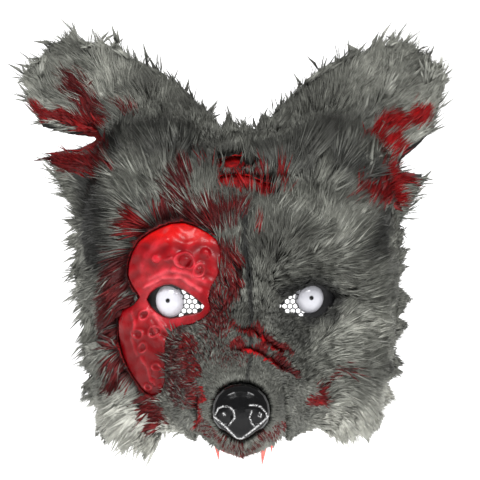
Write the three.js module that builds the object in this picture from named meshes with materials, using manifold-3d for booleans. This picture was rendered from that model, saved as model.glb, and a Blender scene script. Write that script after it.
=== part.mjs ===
// A wolf half mask: a moulded hollow shell with a muzzle, covered in long-pile fur panels, with a torn furry ear
// at each top corner, a bare wound moulding round one eye, domed eyeballs set in netted eye openings, a glossy nose
// and three fangs under the lip.
//
// Millimetres. +X is the viewer's right, -Y the way the face looks, +Z up. The origin is at eye level in the mid
// plane, where the shell's rim plane meets the wearer's temples. "left" and "right" are the viewer's.
import * as THREE from "three";
import { mergeVertices } from "three/addons/utils/BufferGeometryUtils.js";
import Module from "manifold-3d";

const wasm = await Module();
wasm.setup();

// Driving sizes of the shell
const SHELL_HALF_WIDTH = 86;
const SHELL_DEPTH = 64;
const CROWN_HEIGHT = 97;
const LIP_DROP = 90;
const MUZZLE_PROJECTION = 85;
const MUZZLE_HALF_WIDTH = 26;
const SHELL_WALL = 2;
const SEAT_GAP = 0.3;
const FACET_TOLERANCE = 0.12;

// Driving sizes of the face's dents and ridges
const EYE_HALF_SPACING = 46.3;
const EYE_HEIGHT = 0.8;
const SOCKET_DEPTH = 8;
const SOCKET_RADIUS = 19;
const BROW_RISE = 6;
const BROW_RADIUS = 24;
const BROW_ABOVE_EYE = 30;

// Driving sizes of the eyes
const EYEBALL_RADIUS = 9.2;
const EYEBALL_BULGE = 6.5;
const EYE_OPENING_LENGTH = 37;
const PUPIL_RADIUS = 0.9;
const PUPIL_DEPTH = 1.6;
const NET_THREAD = 0.65;
const NET_CELL_PITCH = 3.5;
const NET_MARGIN = 3.5;

// Driving sizes of the wound moulding
const WOUND_SPAN = 66;
const WOUND_WALL = 3.2;
const BLISTER_HEIGHT = 1.6;

// Driving sizes of the fur
const PILE_DEPTH = 13;
const MUZZLE_PILE = 3.4;
const CROWN_PILE = 15;
const CUT_PILE = 3.2;
const CUT_SLOPE = 22;
const FUR_SKIRT = 14;
const LOCK_LENGTH = 22;
const LOCK_WIDTH = 15;
const LOCK_THICKNESS = 5;
const LOCK_ROOT = 7;
const LEFT_FUR_LONGER = 1.3;
const FUR_CUT_CLEARANCE = 0.8;
const SEAM_GAP = 0.5;
const BURIED = 5;

// Driving sizes of the ears
const EAR_LENGTH = { left: 100, right: 94 };
const EAR_HALF_WIDTH = 50;
const EAR_THICKNESS = 12;
const EAR_CUP = 12;
const EAR_BASE_ACROSS = 66;
const EAR_BASE_UP = 84;
const EAR_SET_BACK = 4;
const EAR_LEAN_DEG = { left: 45, right: 49 };
const LINING_THICKNESS = 1.6;
const LINING_MARGIN = 10;
const LINING_SHOWS = 4;

// Driving sizes of the nose and the fangs
const NOSE_HALF_WIDTH = 16.9;
const NOSE_DROP = 61.5;
const NOSE_BULGE = 9;
const NOSTRIL_RIDGE = 0.9;
const FANG_LENGTH = 8.2;
const FANG_RADIUS = 2.1;
const FANG_ROOT = 4;

const QUARTER_TURN = Math.PI / 2;
const TOWARDS_VIEWER = new THREE.Vector3(0, -1, 0);

// The shell's horizontal sections, from the crown down. height is a share of CROWN_HEIGHT above the eyes and of
// LIP_DROP below them. The other columns are shares of the named sizes that they follow.
const SECTIONS = [
  { height: 1.0, width: 0.5, depth: 0.3, projection: 0, muzzle: 0.6 },
  { height: 0.9, width: 0.7, depth: 0.55, projection: 0, muzzle: 0.6 },
  { height: 0.7, width: 0.89, depth: 0.8, projection: 0, muzzle: 0.6 },
  { height: 0.42, width: 1.0, depth: 0.96, projection: 0, muzzle: 0.6 },
  { height: 0.15, width: 1.01, depth: 1.0, projection: 0.04, muzzle: 0.6 },
  { height: 0, width: 1.0, depth: 1.0, projection: 0.12, muzzle: 0.66 },
  { height: -0.16, width: 0.985, depth: 0.98, projection: 0.34, muzzle: 0.76 },
  { height: -0.38, width: 0.96, depth: 0.94, projection: 0.72, muzzle: 0.9 },
  { height: -0.55, width: 0.93, depth: 0.9, projection: 0.95, muzzle: 1.0 },
  { height: -0.72, width: 0.88, depth: 0.86, projection: 1.0, muzzle: 1.03 },
  { height: -0.86, width: 0.82, depth: 0.82, projection: 0.97, muzzle: 0.97 },
  { height: -1.0, width: 0.77, depth: 0.78, projection: 0.9, muzzle: 0.84 },
];

// The lower edge of the shell: how far down it reaches, as a share of LIP_DROP, by the share of the half turn
// across the face.
const LIP_EDGE = [
  { across: 0, height: -1.0 },
  { across: 0.14, height: -0.94 },
  { across: 0.25, height: -0.85 },
  { across: 0.36, height: -0.81 },
  { across: 1.2, height: -0.78 },
];

// The eye opening round the eyeball's centre, with its inner corner towards the muzzle. Shares of
// EYE_OPENING_LENGTH, inwards and up.
const EYE_OPENING = [
  { inward: -0.36, up: 0.02 },
  { inward: -0.24, up: 0.19 },
  { inward: 0, up: 0.285 },
  { inward: 0.2, up: 0.23 },
  { inward: 0.64, up: -0.1 },
  { inward: 0.24, up: -0.25 },
  { inward: 0, up: -0.29 },
  { inward: -0.22, up: -0.17 },
];

// The outline of the wound moulding round the left eyeball's centre. Shares of WOUND_SPAN, to the right and up.
const WOUND_OUTLINE = [
  { right: -0.38, up: 0.36 },
  { right: -0.27, up: 0.58 },
  { right: 0.03, up: 0.74 },
  { right: 0.24, up: 0.725 },
  { right: 0.49, up: 0.565 },
  { right: 0.5, up: 0.29 },
  { right: 0.39, up: 0.08 },
  { right: 0.42, up: -0.08 },
  { right: 0.26, up: -0.2 },
  { right: 0.08, up: -0.25 },
  { right: -0.02, up: -0.37 },
  { right: -0.02, up: -0.6 },
  { right: -0.03, up: -0.79 },
  { right: -0.1, up: -0.925 },
  { right: -0.23, up: -0.88 },
  { right: -0.42, up: -0.6 },
  { right: -0.495, up: -0.3 },
  { right: -0.46, up: -0.1 },
  { right: -0.33, up: -0.04 },
  { right: -0.27, up: 0.03 },
  { right: -0.33, up: 0.12 },
  { right: -0.39, up: 0.24 },
];

// Raised blisters on the wound moulding: place as shares of WOUND_SPAN from the eyeball's centre, size as a share
// of WOUND_SPAN.
const BLISTERS = [
  { right: 0.15, up: 0.405, size: 0.09 },
  { right: 0.29, up: 0.3, size: 0.07 },
  { right: -0.13, up: 0.38, size: 0.085 },
  { right: 0.36, up: 0.46, size: 0.05 },
  { right: -0.02, up: 0.56, size: 0.06 },
  { right: -0.26, up: -0.15, size: 0.055 },
  { right: -0.34, up: -0.34, size: 0.055 },
  { right: -0.27, up: -0.49, size: 0.06 },
  { right: -0.12, up: -0.68, size: 0.06 },
];

// Slits that were cut through the forehead and bridge fur: a spine of points with a half width, as shares of
// SHELL_HALF_WIDTH from the eye line in the mid plane.
const GASHES = [
  [
    { right: -0.27, up: 1.02, half: 0.01 },
    { right: -0.05, up: 1.04, half: 0.05 },
    { right: 0.14, up: 1.06, half: 0.01 },
  ],
  [
    { right: -0.17, up: 0.9, half: 0.035 },
    { right: 0.05, up: 0.88, half: 0.055 },
    { right: 0.18, up: 0.83, half: 0.05 },
    { right: 0.31, up: 0.83, half: 0.02 },
  ],
  [
    { right: -0.06, up: -0.205, half: 0.012 },
    { right: 0.08, up: -0.198, half: 0.03 },
    { right: 0.21, up: -0.3, half: 0.03 },
    { right: 0.325, up: -0.358, half: 0.012 },
  ],
  [
    { right: -0.07, up: -0.33, half: 0.012 },
    { right: 0.064, up: -0.32, half: 0.032 },
    { right: 0.207, up: -0.395, half: 0.032 },
    { right: 0.363, up: -0.52, half: 0.012 },
  ],
];

// The ear from its root to its tip: how far the body reaches towards its upper edge and towards its outer edge,
// as shares of EAR_HALF_WIDTH, and how thick it is, as a share of EAR_THICKNESS.
const EAR_ROWS = [
  { along: 0, upper: 1.16, outer: 1.0, thick: 1.0 },
  { along: 0.12, upper: 1.16, outer: 0.98, thick: 1.0 },
  { along: 0.27, upper: 1.14, outer: 0.9, thick: 1.0 },
  { along: 0.46, upper: 1.04, outer: 0.76, thick: 0.95 },
  { along: 0.6, upper: 0.94, outer: 0.56, thick: 0.85 },
  { along: 0.77, upper: 0.78, outer: 0.42, thick: 0.75 },
  { along: 0.92, upper: 0.58, outer: 0.26, thick: 0.55 },
  { along: 1.0, upper: 0.4, outer: 0.1, thick: 0.4 },
];

// The bite out of each ear's outer edge: along the ear as a share of EAR_LENGTH, and out from its axis as a share
// of EAR_HALF_WIDTH.
const BITES = {
  left: [
    { along: 0.75, out: 0.54 },
    { along: 0.66, out: 0.38 },
    { along: 0.55, out: 0.25 },
    { along: 0.45, out: 0.09 },
    { along: 0.38, out: -0.01 },
    { along: 0.34, out: 0.06 },
    { along: 0.35, out: 0.2 },
    { along: 0.38, out: 0.38 },
    { along: 0.52, out: 0.78 },
    { along: 0.66, out: 1.15 },
  ],
  right: [
    { along: 0.66, out: 0.56 },
    { along: 0.5, out: 0.46 },
    { along: 0.36, out: 0.42 },
    { along: 0.27, out: 0.5 },
    { along: 0.27, out: 0.66 },
    { along: 0.3, out: 0.76 },
    { along: 0.45, out: 1.1 },
  ],
};

// The nose's outline, clockwise from the top: the reach from its centre at each share of a turn, as a share of
// NOSE_HALF_WIDTH.
const NOSE_REACH = [
  { turn: 0, reach: 0.98 },
  { turn: 0.125, reach: 1.02 },
  { turn: 0.25, reach: 1.0 },
  { turn: 0.32, reach: 0.98 },
  { turn: 0.41, reach: 0.86 },
  { turn: 0.5, reach: 0.98 },
  { turn: 0.59, reach: 0.86 },
  { turn: 0.68, reach: 0.98 },
  { turn: 0.75, reach: 1.0 },
  { turn: 0.875, reach: 1.02 },
  { turn: 1, reach: 0.98 },
];

// The curl of a nostril's raised rim on the nose's front: shares of NOSE_HALF_WIDTH from the nose's centre.
const NOSTRIL_CURL = [
  { out: 0.2, up: 0.16 },
  { out: 0.55, up: 0.14 },
  { out: 0.84, up: -0.12 },
  { out: 0.62, up: -0.42 },
  { out: 0.34, up: -0.4 },
  { out: 0.3, up: -0.14 },
];

// The fangs: side is where each one hangs across the lip, as a share of the half turn across the face, and size is
// a share of the fang's length and radius.
const FANGS = [
  { name: "fang_left", side: -0.15, size: 0.85 },
  { name: "fang_right", side: 0.143, size: 1 },
  { name: "fang_right_small", side: 0.19, size: 0.6 },
];

// Reads a column of a table at a place between its rows, along a smooth curve.
function readTable(rows, by, column, place) {
  const ascending = rows[rows.length - 1][by] > rows[0][by];
  const sorted = ascending ? rows : [...rows].reverse();
  let k = 0;
  while (k < sorted.length - 2 && place > sorted[k + 1][by]) k++;
  const [a, b] = [sorted[k], sorted[k + 1]];
  const before = sorted[Math.max(k - 1, 0)];
  const after = sorted[Math.min(k + 2, sorted.length - 1)];
  const span = b[by] - a[by];
  const share = (place - a[by]) / span;
  if (share < 0) return a[column] + ((b[column] - a[column]) / span) * (place - a[by]);
  if (share > 1) return b[column] + ((b[column] - a[column]) / span) * (place - b[by]);
  const slopeA = ((b[column] - before[column]) / (b[by] - before[by])) * span;
  const slopeB = ((after[column] - a[column]) / (after[by] - a[by])) * span;
  const s2 = share * share;
  const s3 = s2 * share;
  return (
    (2 * s3 - 3 * s2 + 1) * a[column] +
    (s3 - 2 * s2 + share) * slopeA +
    (3 * s2 - 2 * s3) * b[column] +
    (s3 - s2) * slopeB
  );
}

const sideName = (side) => (side < 0 ? "left" : "right");
const smoothRise = (low, high, x) => THREE.MathUtils.smoothstep(x, low, high);
const bell = (distance, radius) => Math.exp(-((distance / radius) ** 2));

// A repeatable number from 0 to 1 for the nth lock of a row.
const scatter = (n) => {
  const wave = Math.sin(n * 12.9898 + 4.1) * 43758.5453;
  return wave - Math.floor(wave);
};

// A point of the face: across runs from -1 at the left rim to 1 at the right rim, height is a share as in
// SECTIONS, and out is how far the surface lies outside the shell's inner wall.
function facePoint(across, height, out) {
  const halfWidth = readTable(SECTIONS, "height", "width", height) * SHELL_HALF_WIDTH + out;
  const depth = readTable(SECTIONS, "height", "depth", height) * SHELL_DEPTH + out;
  const projection = readTable(SECTIONS, "height", "projection", height) * MUZZLE_PROJECTION;
  const muzzle = readTable(SECTIONS, "height", "muzzle", height) * MUZZLE_HALF_WIDTH + out;
  const turn = THREE.MathUtils.clamp(across, -1, 1) * QUARTER_TURN;
  const pastRim = Math.max(Math.abs(across) - 1, 0) * SHELL_HALF_WIDTH;
  const rise = smoothRise(0.5, 1.05, height) * out * 0.9;
  const x = halfWidth * Math.sin(turn);
  const z = height * (height > 0 ? CROWN_HEIGHT : LIP_DROP) + rise;
  let y = -depth * Math.cos(turn) + pastRim;
  y -= projection * Math.exp(-0.7 * (Math.abs(x) / muzzle) ** 3.5);
  const aside = Math.abs(x) - EYE_HALF_SPACING;
  y += SOCKET_DEPTH * bell(Math.hypot(aside, z - EYE_HEIGHT), SOCKET_RADIUS);
  y -= BROW_RISE * bell(Math.hypot(aside, z - EYE_HEIGHT - BROW_ABOVE_EYE), BROW_RADIUS);
  return new THREE.Vector3(x, y, z);
}

const lowerEdge = (across) => readTable(LIP_EDGE, "across", "height", Math.abs(across));

// The height, as a share, of a point that lies the given share of the way down a column of the face.
function heightDown(across, top, share, bottomLift) {
  const bottom = lowerEdge(across) + bottomLift;
  return top + (bottom - top) * share;
}

// A closed geometry between two sheets of points on the same grid. front and back give a point for a column and a
// row, and the front sheet is the one that faces -Y.
function wallBetween(columns, rows, front, back) {
  const positions = [];
  for (const sheet of [front, back])
    for (const row of rows) for (const column of columns) positions.push(...sheet(column, row).toArray());
  const wide = columns.length;
  const tall = rows.length;
  const at = (i, j, sheet) => sheet * wide * tall + j * wide + i;
  const faces = [];
  const quad = (a, b, c, d) => faces.push(a, b, c, a, c, d);
  for (let j = 0; j + 1 < tall; j++)
    for (let i = 0; i + 1 < wide; i++) {
      quad(at(i, j, 0), at(i, j + 1, 0), at(i + 1, j + 1, 0), at(i + 1, j, 0));
      quad(at(i, j, 1), at(i + 1, j, 1), at(i + 1, j + 1, 1), at(i, j + 1, 1));
    }
  for (let i = 0; i + 1 < wide; i++) {
    quad(at(i, 0, 0), at(i + 1, 0, 0), at(i + 1, 0, 1), at(i, 0, 1));
    quad(at(i, tall - 1, 0), at(i, tall - 1, 1), at(i + 1, tall - 1, 1), at(i + 1, tall - 1, 0));
  }
  for (let j = 0; j + 1 < tall; j++) {
    quad(at(0, j, 0), at(0, j, 1), at(0, j + 1, 1), at(0, j + 1, 0));
    quad(at(wide - 1, j, 0), at(wide - 1, j + 1, 0), at(wide - 1, j + 1, 1), at(wide - 1, j, 1));
  }
  const geometry = new THREE.BufferGeometry();
  geometry.setAttribute("position", new THREE.Float32BufferAttribute(positions, 3));
  geometry.setIndex(faces);
  return geometry;
}

// A closed geometry as a solid that can be cut and joined.
function solidOf(geometry) {
  const bare = new THREE.BufferGeometry();
  bare.setAttribute("position", geometry.getAttribute("position").clone());
  if (geometry.index) bare.setIndex(geometry.index.clone());
  const merged = mergeVertices(bare, 1e-4);
  return new wasm.Manifold(
    new wasm.Mesh({
      numProp: 3,
      vertProperties: new Float32Array(merged.attributes.position.array),
      triVerts: new Uint32Array(merged.index.array),
    }),
  );
}

function geometryOf(solid) {
  const mesh = solid.simplify(FACET_TOLERANCE).getMesh();
  const geometry = new THREE.BufferGeometry();
  geometry.setAttribute("position", new THREE.BufferAttribute(new Float32Array(mesh.vertProperties), 3));
  geometry.setIndex(new THREE.BufferAttribute(new Uint32Array(mesh.triVerts), 1));
  const plain = geometry.toNonIndexed();
  plain.computeVertexNormals();
  return plain;
}

const joined = (solids) => solids.reduce((sum, next) => sum.add(next));

// The largest of a solid's separate bodies: a cut near a rim can leave crumbs, which are dropped.
function mainBody(solid) {
  const bodies = solid.decompose();
  return bodies.reduce((best, body) => (body.volume() > best.volume() ? body : best));
}

// A smooth closed outline through a few points, as a list of points in the plane of X and Z.
function smoothOutline(points, count, tension = 0.5) {
  const curve = new THREE.CatmullRomCurve3(
    points.map((p) => new THREE.Vector3(p.x, p.y, 0)),
    true,
    "catmullrom",
    tension,
  );
  return curve.getSpacedPoints(count).slice(0, count).map((p) => new THREE.Vector2(p.x, p.y));
}

// The outline moved out by a distance, or in where it is negative.
function offsetOutline(points, distance) {
  const turned = THREE.ShapeUtils.isClockWise(points) ? -1 : 1;
  return points.map((p, k) => {
    const before = points[(k + points.length - 1) % points.length];
    const after = points[(k + 1) % points.length];
    const along = after.clone().sub(before).normalize();
    return new THREE.Vector2(p.x + along.y * distance * turned, p.y - along.x * distance * turned);
  });
}

// A prism along Y over an outline in the plane of X and Z.
function prism(outline, fromY, toY) {
  const geometry = new THREE.ExtrudeGeometry(new THREE.Shape(outline), {
    depth: toY - fromY,
    bevelEnabled: false,
  });
  geometry.rotateX(QUARTER_TURN);
  geometry.translate(0, toY, 0);
  return solidOf(geometry);
}

const steps = (low, high, count) =>
  Array.from({ length: count + 1 }, (_, k) => low + ((high - low) * k) / count);

// The columns across the face, closer together where the muzzle's sides are steep.
const HALF_COLUMNS = [0.1, 0.17, 0.21, 0.25, 0.3, 0.4, 0.54, 0.7, 0.86, 1];
const FULL_COLUMNS = [...HALF_COLUMNS.map((c) => -c).reverse(), 0, ...HALF_COLUMNS];
const SHELL_ROWS = [...steps(0, 0.45, 5), ...steps(0.45, 1, 9).slice(1)];
const FRONT_MOST = -2.2 * (SHELL_DEPTH + MUZZLE_PROJECTION);
const REAR_MOST = SHELL_DEPTH;

function eyeOutline(side, clearance) {
  const points = EYE_OPENING.map(
    (p) =>
      new THREE.Vector2(
        side * (EYE_HALF_SPACING - p.inward * EYE_OPENING_LENGTH),
        EYE_HEIGHT + p.up * EYE_OPENING_LENGTH,
      ),
  );
  return offsetOutline(smoothOutline(points, 18), clearance);
}

function woundOutline(clearance) {
  const points = WOUND_OUTLINE.map(
    (p) =>
      new THREE.Vector2(-EYE_HALF_SPACING + p.right * WOUND_SPAN, EYE_HEIGHT + p.up * WOUND_SPAN),
  );
  return offsetOutline(smoothOutline(points, 38), clearance);
}

function noseOutline(clearance) {
  const points = steps(0, 1, 20)
    .slice(0, 20)
    .map((turn) => {
      const reach = readTable(NOSE_REACH, "turn", "reach", turn) * NOSE_HALF_WIDTH + clearance;
      const angle = turn * 2 * Math.PI;
      return new THREE.Vector2(Math.sin(angle) * reach, -NOSE_DROP + Math.cos(angle) * reach);
    });
  return points.reverse();
}

// The muzzle's fur panel seen from the front: it starts in a point between the eyes and widens to the muzzle's
// roots.
function muzzleOutline(clearance) {
  const half = [
    { out: 0.5, up: -0.2 },
    { out: 0.86, up: -0.45 },
    { out: 1.02, up: -0.75 },
    { out: 1.1, up: -1.4 },
  ];
  const place = (p, side) => new THREE.Vector2(side * p.out * MUZZLE_HALF_WIDTH, p.up * LIP_DROP);
  const left = half.map((p) => place(p, -1));
  const right = [...half].reverse().map((p) => place(p, 1));
  return offsetOutline([place({ out: 0, up: -0.02 }, 1), ...left, ...right], clearance);
}

function gashOutline(gash) {
  const place = (p, sign) =>
    new THREE.Vector2(p.right * SHELL_HALF_WIDTH, (p.up + sign * p.half) * SHELL_HALF_WIDTH);
  return [...gash.map((p) => place(p, -1)), ...[...gash].reverse().map((p) => place(p, 1))];
}

const FUR_CUTS = [woundOutline(0), eyeOutline(1, 0), ...GASHES.map(gashOutline)];

// The moulded shell, with both eye openings.
function buildShell() {
  const point = (out) => (across, share) => facePoint(across, heightDown(across, 1, share, 0), out);
  let shell = solidOf(wallBetween(FULL_COLUMNS, SHELL_ROWS, point(SHELL_WALL), point(0)));
  for (const side of [-1, 1]) shell = shell.subtract(prism(eyeOutline(side, 0), FRONT_MOST, REAR_MOST));
  return mainBody(shell);
}

// A block that fills the face from well inside the head out to a surface, used to cut what seats on that surface.
function headBlock(out) {
  const rows = [-0.03, ...SHELL_ROWS, 1.03];
  const front = (across, share) => facePoint(across, heightDown(across, 1, share, 0), out);
  const back = (across, share) => {
    const p = front(across, share);
    return new THREE.Vector3(p.x, REAR_MOST, p.z);
  };
  return solidOf(wallBetween(FULL_COLUMNS, rows, front, back));
}

// The netting behind one eye opening, pierced where it shows beside the eyeball.
function buildNet(side) {
  const sheet = headBlock(-SEAT_GAP).subtract(headBlock(-SEAT_GAP - NET_THREAD));
  const net = sheet.intersect(prism(eyeOutline(side, NET_MARGIN), FRONT_MOST, 0));
  const clear = eyeOutline(side, -0.2);
  const holes = [];
  const rowPitch = NET_CELL_PITCH * Math.sin(Math.PI / 3);
  for (let row = -4; row <= 4; row++)
    for (let step = 0; step < 8; step++) {
      const inward = EYEBALL_RADIUS * 0.72 + (step + (row % 2 ? 0.5 : 0)) * NET_CELL_PITCH;
      const x = side * (EYE_HALF_SPACING - inward);
      const z = EYE_HEIGHT + row * rowPitch;
      if (!outlineHolds(clear, x, z) || Math.hypot(inward, row * rowPitch) < EYEBALL_RADIUS * 0.86) continue;
      const radius = (NET_CELL_PITCH - NET_THREAD) / Math.sqrt(3);
      const hexagon = steps(0, 1, 6)
        .slice(0, 6)
        .map((t) => new THREE.Vector2(x + radius * Math.sin(t * 2 * Math.PI), z + radius * Math.cos(t * 2 * Math.PI)));
      holes.push(prism(hexagon.reverse(), FRONT_MOST, REAR_MOST));
    }
  return mainBody(net.subtract(joined(holes)));
}

// A white domed eyeball with a blind pupil hole, seated on the net.
function buildEyeball(side, seat) {
  const centre = new THREE.Vector3(side * EYE_HALF_SPACING, 0, EYE_HEIGHT);
  const surface = facePoint((side * Math.asin(EYE_HALF_SPACING / SHELL_HALF_WIDTH)) / QUARTER_TURN, 0, 0);
  centre.y = surface.y;
  const facing = side * -0.3;
  const ball = new THREE.SphereGeometry(EYEBALL_RADIUS, 16, 8);
  ball.rotateX(QUARTER_TURN);
  ball.scale(1, EYEBALL_BULGE / EYEBALL_RADIUS, 1);
  ball.rotateZ(-facing);
  ball.translate(centre.x, centre.y, centre.z);
  const pupil = new THREE.CylinderGeometry(PUPIL_RADIUS, PUPIL_RADIUS, PUPIL_DEPTH * 2, 10);
  pupil.translate(0, -EYEBALL_BULGE, 0);
  pupil.rotateZ(-facing);
  pupil.translate(centre.x, centre.y, centre.z);
  return mainBody(solidOf(ball).subtract(seat).subtract(solidOf(pupil)));
}

// The bare wound moulding round the left eye, with its blisters.
function buildWound(seat) {
  const low = SHELL_WALL + SEAT_GAP;
  const columns = steps(-0.95, -0.08, 11);
  const heights = steps(0.6, -0.76, 13);
  const sheet = (out) => (across, height) => facePoint(across, height, out);
  let plate = solidOf(wallBetween(columns, heights, sheet(low + WOUND_WALL), sheet(-BURIED)));
  plate = plate.intersect(prism(woundOutline(0), FRONT_MOST, 0));
  plate = plate.subtract(prism(eyeOutline(-1, 0.4), FRONT_MOST, REAR_MOST));
  const domes = BLISTERS.map((b) => {
    const x = -EYE_HALF_SPACING + b.right * WOUND_SPAN;
    const z = EYE_HEIGHT + b.up * WOUND_SPAN;
    const across = Math.asin(Math.max(x / SHELL_HALF_WIDTH, -0.98)) / QUARTER_TURN;
    const seat = facePoint(across, z / (z > 0 ? CROWN_HEIGHT : LIP_DROP), low + WOUND_WALL);
    const dome = new THREE.SphereGeometry(b.size * WOUND_SPAN, 8, 4);
    dome.rotateX(QUARTER_TURN);
    dome.scale(1, BLISTER_HEIGHT / (b.size * WOUND_SPAN), 1);
    dome.rotateZ(across * QUARTER_TURN);
    dome.translate(x, seat.y, z);
    return solidOf(dome);
  });
  return mainBody(plate.add(joined(domes)).subtract(seat));
}

// Whether an outline holds a place, seen from the front.
function outlineHolds(outline, x, z) {
  let odd = false;
  outline.forEach((a, k) => {
    const b = outline[(k + outline.length - 1) % outline.length];
    if (a.y > z !== b.y > z && x < ((b.x - a.x) * (z - a.y)) / (b.y - a.y) + a.x) odd = !odd;
  });
  return odd;
}

// How far a place is, seen from the front, from the nearest hole or slit that is cut in the fur.
function distanceToCut(x, z) {
  let nearest = Infinity;
  for (const outline of FUR_CUTS) {
    if (outlineHolds(outline, x, z)) return 0;
    outline.forEach((a, k) => {
      const b = outline[(k + 1) % outline.length];
      const [alongX, alongZ] = [b.x - a.x, b.y - a.y];
      const share = ((x - a.x) * alongX + (z - a.y) * alongZ) / (alongX * alongX + alongZ * alongZ);
      const held = THREE.MathUtils.clamp(share, 0, 1);
      nearest = Math.min(nearest, Math.hypot(a.x + alongX * held - x, a.y + alongZ * held - z));
    });
  }
  return nearest;
}

// How deep the matted pile is at a place on the face.
function pileAt(across, height) {
  const aside = Math.abs(across);
  const fromMuzzle = smoothRise(0.2, 0.55, aside + smoothRise(-0.2, 0.3, height) * 0.4);
  const side = MUZZLE_PILE * 1.6 + (PILE_DEPTH - MUZZLE_PILE * 1.6) * fromMuzzle;
  const crowned = side + (CROWN_PILE - side) * smoothRise(0.6, 1, height);
  const skin = facePoint(across, height, SHELL_WALL);
  const fromEye = Math.hypot(Math.abs(skin.x) - EYE_HALF_SPACING, skin.z - EYE_HEIGHT);
  const thinned = 1 - 0.65 * smoothRise(1, 1 + FUR_SKIRT / SHELL_HALF_WIDTH, aside);
  const pile = crowned * thinned * (1 - 0.72 * bell(fromEye, SOCKET_RADIUS));
  const clear = smoothRise(0, CUT_SLOPE, distanceToCut(skin.x, skin.z));
  return Math.min(pile, CUT_PILE + (pile - CUT_PILE) * clear);
}

// How wide a lock is from its root to its tip, as a share of its full width.
const LOCK_PROFILE = [
  { along: 0, width: 0.8 },
  { along: 0.5, width: 0.95 },
  { along: 1, width: 0 },
];

// One lock of fur: a flattened, tapering tuft from a root, along a direction, with its flat side towards facing
// and its tip bent to one side.
function lock(root, direction, facing, length, bend) {
  const tuft = new THREE.ConeGeometry(1, 1, 4, 2);
  tuft.rotateY(Math.PI / 4);
  tuft.translate(0, 0.5, 0);
  const positions = tuft.getAttribute("position");
  for (let k = 0; k < positions.count; k++) {
    const along = positions.getY(k);
    const cone = Math.max(1 - along, 1e-6) * Math.SQRT1_2;
    const full = readTable(LOCK_PROFILE, "along", "width", along) / cone;
    positions.setXYZ(
      k,
      positions.getX(k) * full * LOCK_WIDTH * 0.5 + bend * LOCK_WIDTH * along * along,
      along * (length + LOCK_ROOT) - LOCK_ROOT,
      positions.getZ(k) * full * LOCK_THICKNESS * 0.5,
    );
  }
  const up = direction.clone().normalize();
  const across = up.clone().cross(facing).normalize();
  const flat = across.clone().cross(up);
  tuft.applyMatrix4(new THREE.Matrix4().makeBasis(across, up, flat).setPosition(root));
  return solidOf(tuft);
}

// The way straight out of the shell at a place.
function faceNormal(across, height) {
  const here = facePoint(across, height, SHELL_WALL);
  const aside = facePoint(across + 0.01, height, SHELL_WALL).sub(here);
  const above = facePoint(across, height + 0.01, SHELL_WALL).sub(here);
  return aside.cross(above).normalize();
}

// The way the fur lies at a place: over the surface, away from the nose.
function furDirection(across, height) {
  const nose = new THREE.Vector3(0, -SHELL_DEPTH - MUZZLE_PROJECTION, -NOSE_DROP);
  const away = facePoint(across, height, SHELL_WALL).sub(nose).normalize();
  const outward = faceNormal(across, height);
  return away.addScaledVector(outward, -away.dot(outward)).normalize();
}

// The rows of locks on a fur panel: a few over the face, then the fringe along the crown, the side and the cheek.
// Each row runs from one place to another, given as across and height. lift turns the locks off the face, hang
// turns them down, and those of a fringe show their flat side to the viewer.
const PANEL_ROWS = [
  { from: [0.38, 0.76], to: [0.84, 0.8], count: 2, lift: 0.22, hang: 0, size: 1.3, fringe: false },
  { from: [0.56, 0.48], to: [0.92, 0.5], count: 2, lift: 0.22, hang: 0, size: 1.3, fringe: false },
  { from: [0.72, 0.04], to: [0.92, 0], count: 2, lift: 0.22, hang: 0, size: 1.3, fringe: false },
  { from: [0.6, -0.42], to: [0.88, -0.4], count: 2, lift: 0.22, hang: 0, size: 1.3, fringe: false },
  { from: [0.07, 1], to: [0.5, 1], count: 4, lift: 0.1, hang: -1, size: 0.85, fringe: true },
  { from: [1, 0.5], to: [1, -0.74], count: 12, lift: 2, hang: 0, size: 0.6, fringe: true },
  { from: [0.97, -0.79], to: [0.46, -0.8], count: 6, lift: 0.3, hang: 1.6, size: 0.85, fringe: true },
];

function panelLocks(side) {
  const base = SHELL_WALL + SEAT_GAP;
  const longer = side < 0 ? LEFT_FUR_LONGER : 1;
  return PANEL_ROWS.flatMap(({ from, to, count, lift, hang, size, fringe }, row) =>
    steps(0, 1, count - 1).map((share, k) => {
      const n = side * (row * 10 + k);
      const place = side * THREE.MathUtils.lerp(from[0], to[0], share);
      const height = THREE.MathUtils.lerp(from[1], to[1], share);
      const outward = faceNormal(place, height);
      const root = facePoint(place, height, base + pileAt(place, height) * (fringe ? 0.75 : 0.4));
      const direction = furDirection(place, height).addScaledVector(outward, lift);
      direction.z -= hang;
      const length = LOCK_LENGTH * size * longer * (0.8 + 0.4 * scatter(n + 7));
      return lock(root, direction, fringe ? TOWARDS_VIEWER : outward, length, scatter(n + 3) - 0.5);
    }),
  );
}

// One half of the fur hide, from the mid seam round to behind the rim.
function buildFurPanel(side, seat, cutters) {
  const base = SHELL_WALL + SEAT_GAP;
  const seam = SEAM_GAP / SHELL_HALF_WIDTH;
  const skirt = 1 + FUR_SKIRT / SHELL_HALF_WIDTH;
  const half = [seam, 0.12, 0.21, 0.29, 0.38, 0.5, 0.64, 0.78, 0.9, 1, skirt];
  const columns = side > 0 ? half : half.map((c) => -c).reverse();
  const rows = steps(0, 1, 13);
  const heightAt = (across, share) => heightDown(across, 1.02, share, -0.05);
  const outer = (across, share) => {
    const height = heightAt(across, share);
    return facePoint(across, height, base + pileAt(across, height));
  };
  const inner = (across, share) => facePoint(across, heightAt(across, share), -BURIED);
  let panel = solidOf(wallBetween(columns, rows, outer, inner));
  panel = joined([panel, ...panelLocks(side)]);
  panel = panel.trimByPlane([side, 0, 0], SEAM_GAP / 2).subtract(seat);
  for (const cutter of cutters) panel = panel.subtract(cutter);
  return mainBody(panel);
}

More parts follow.
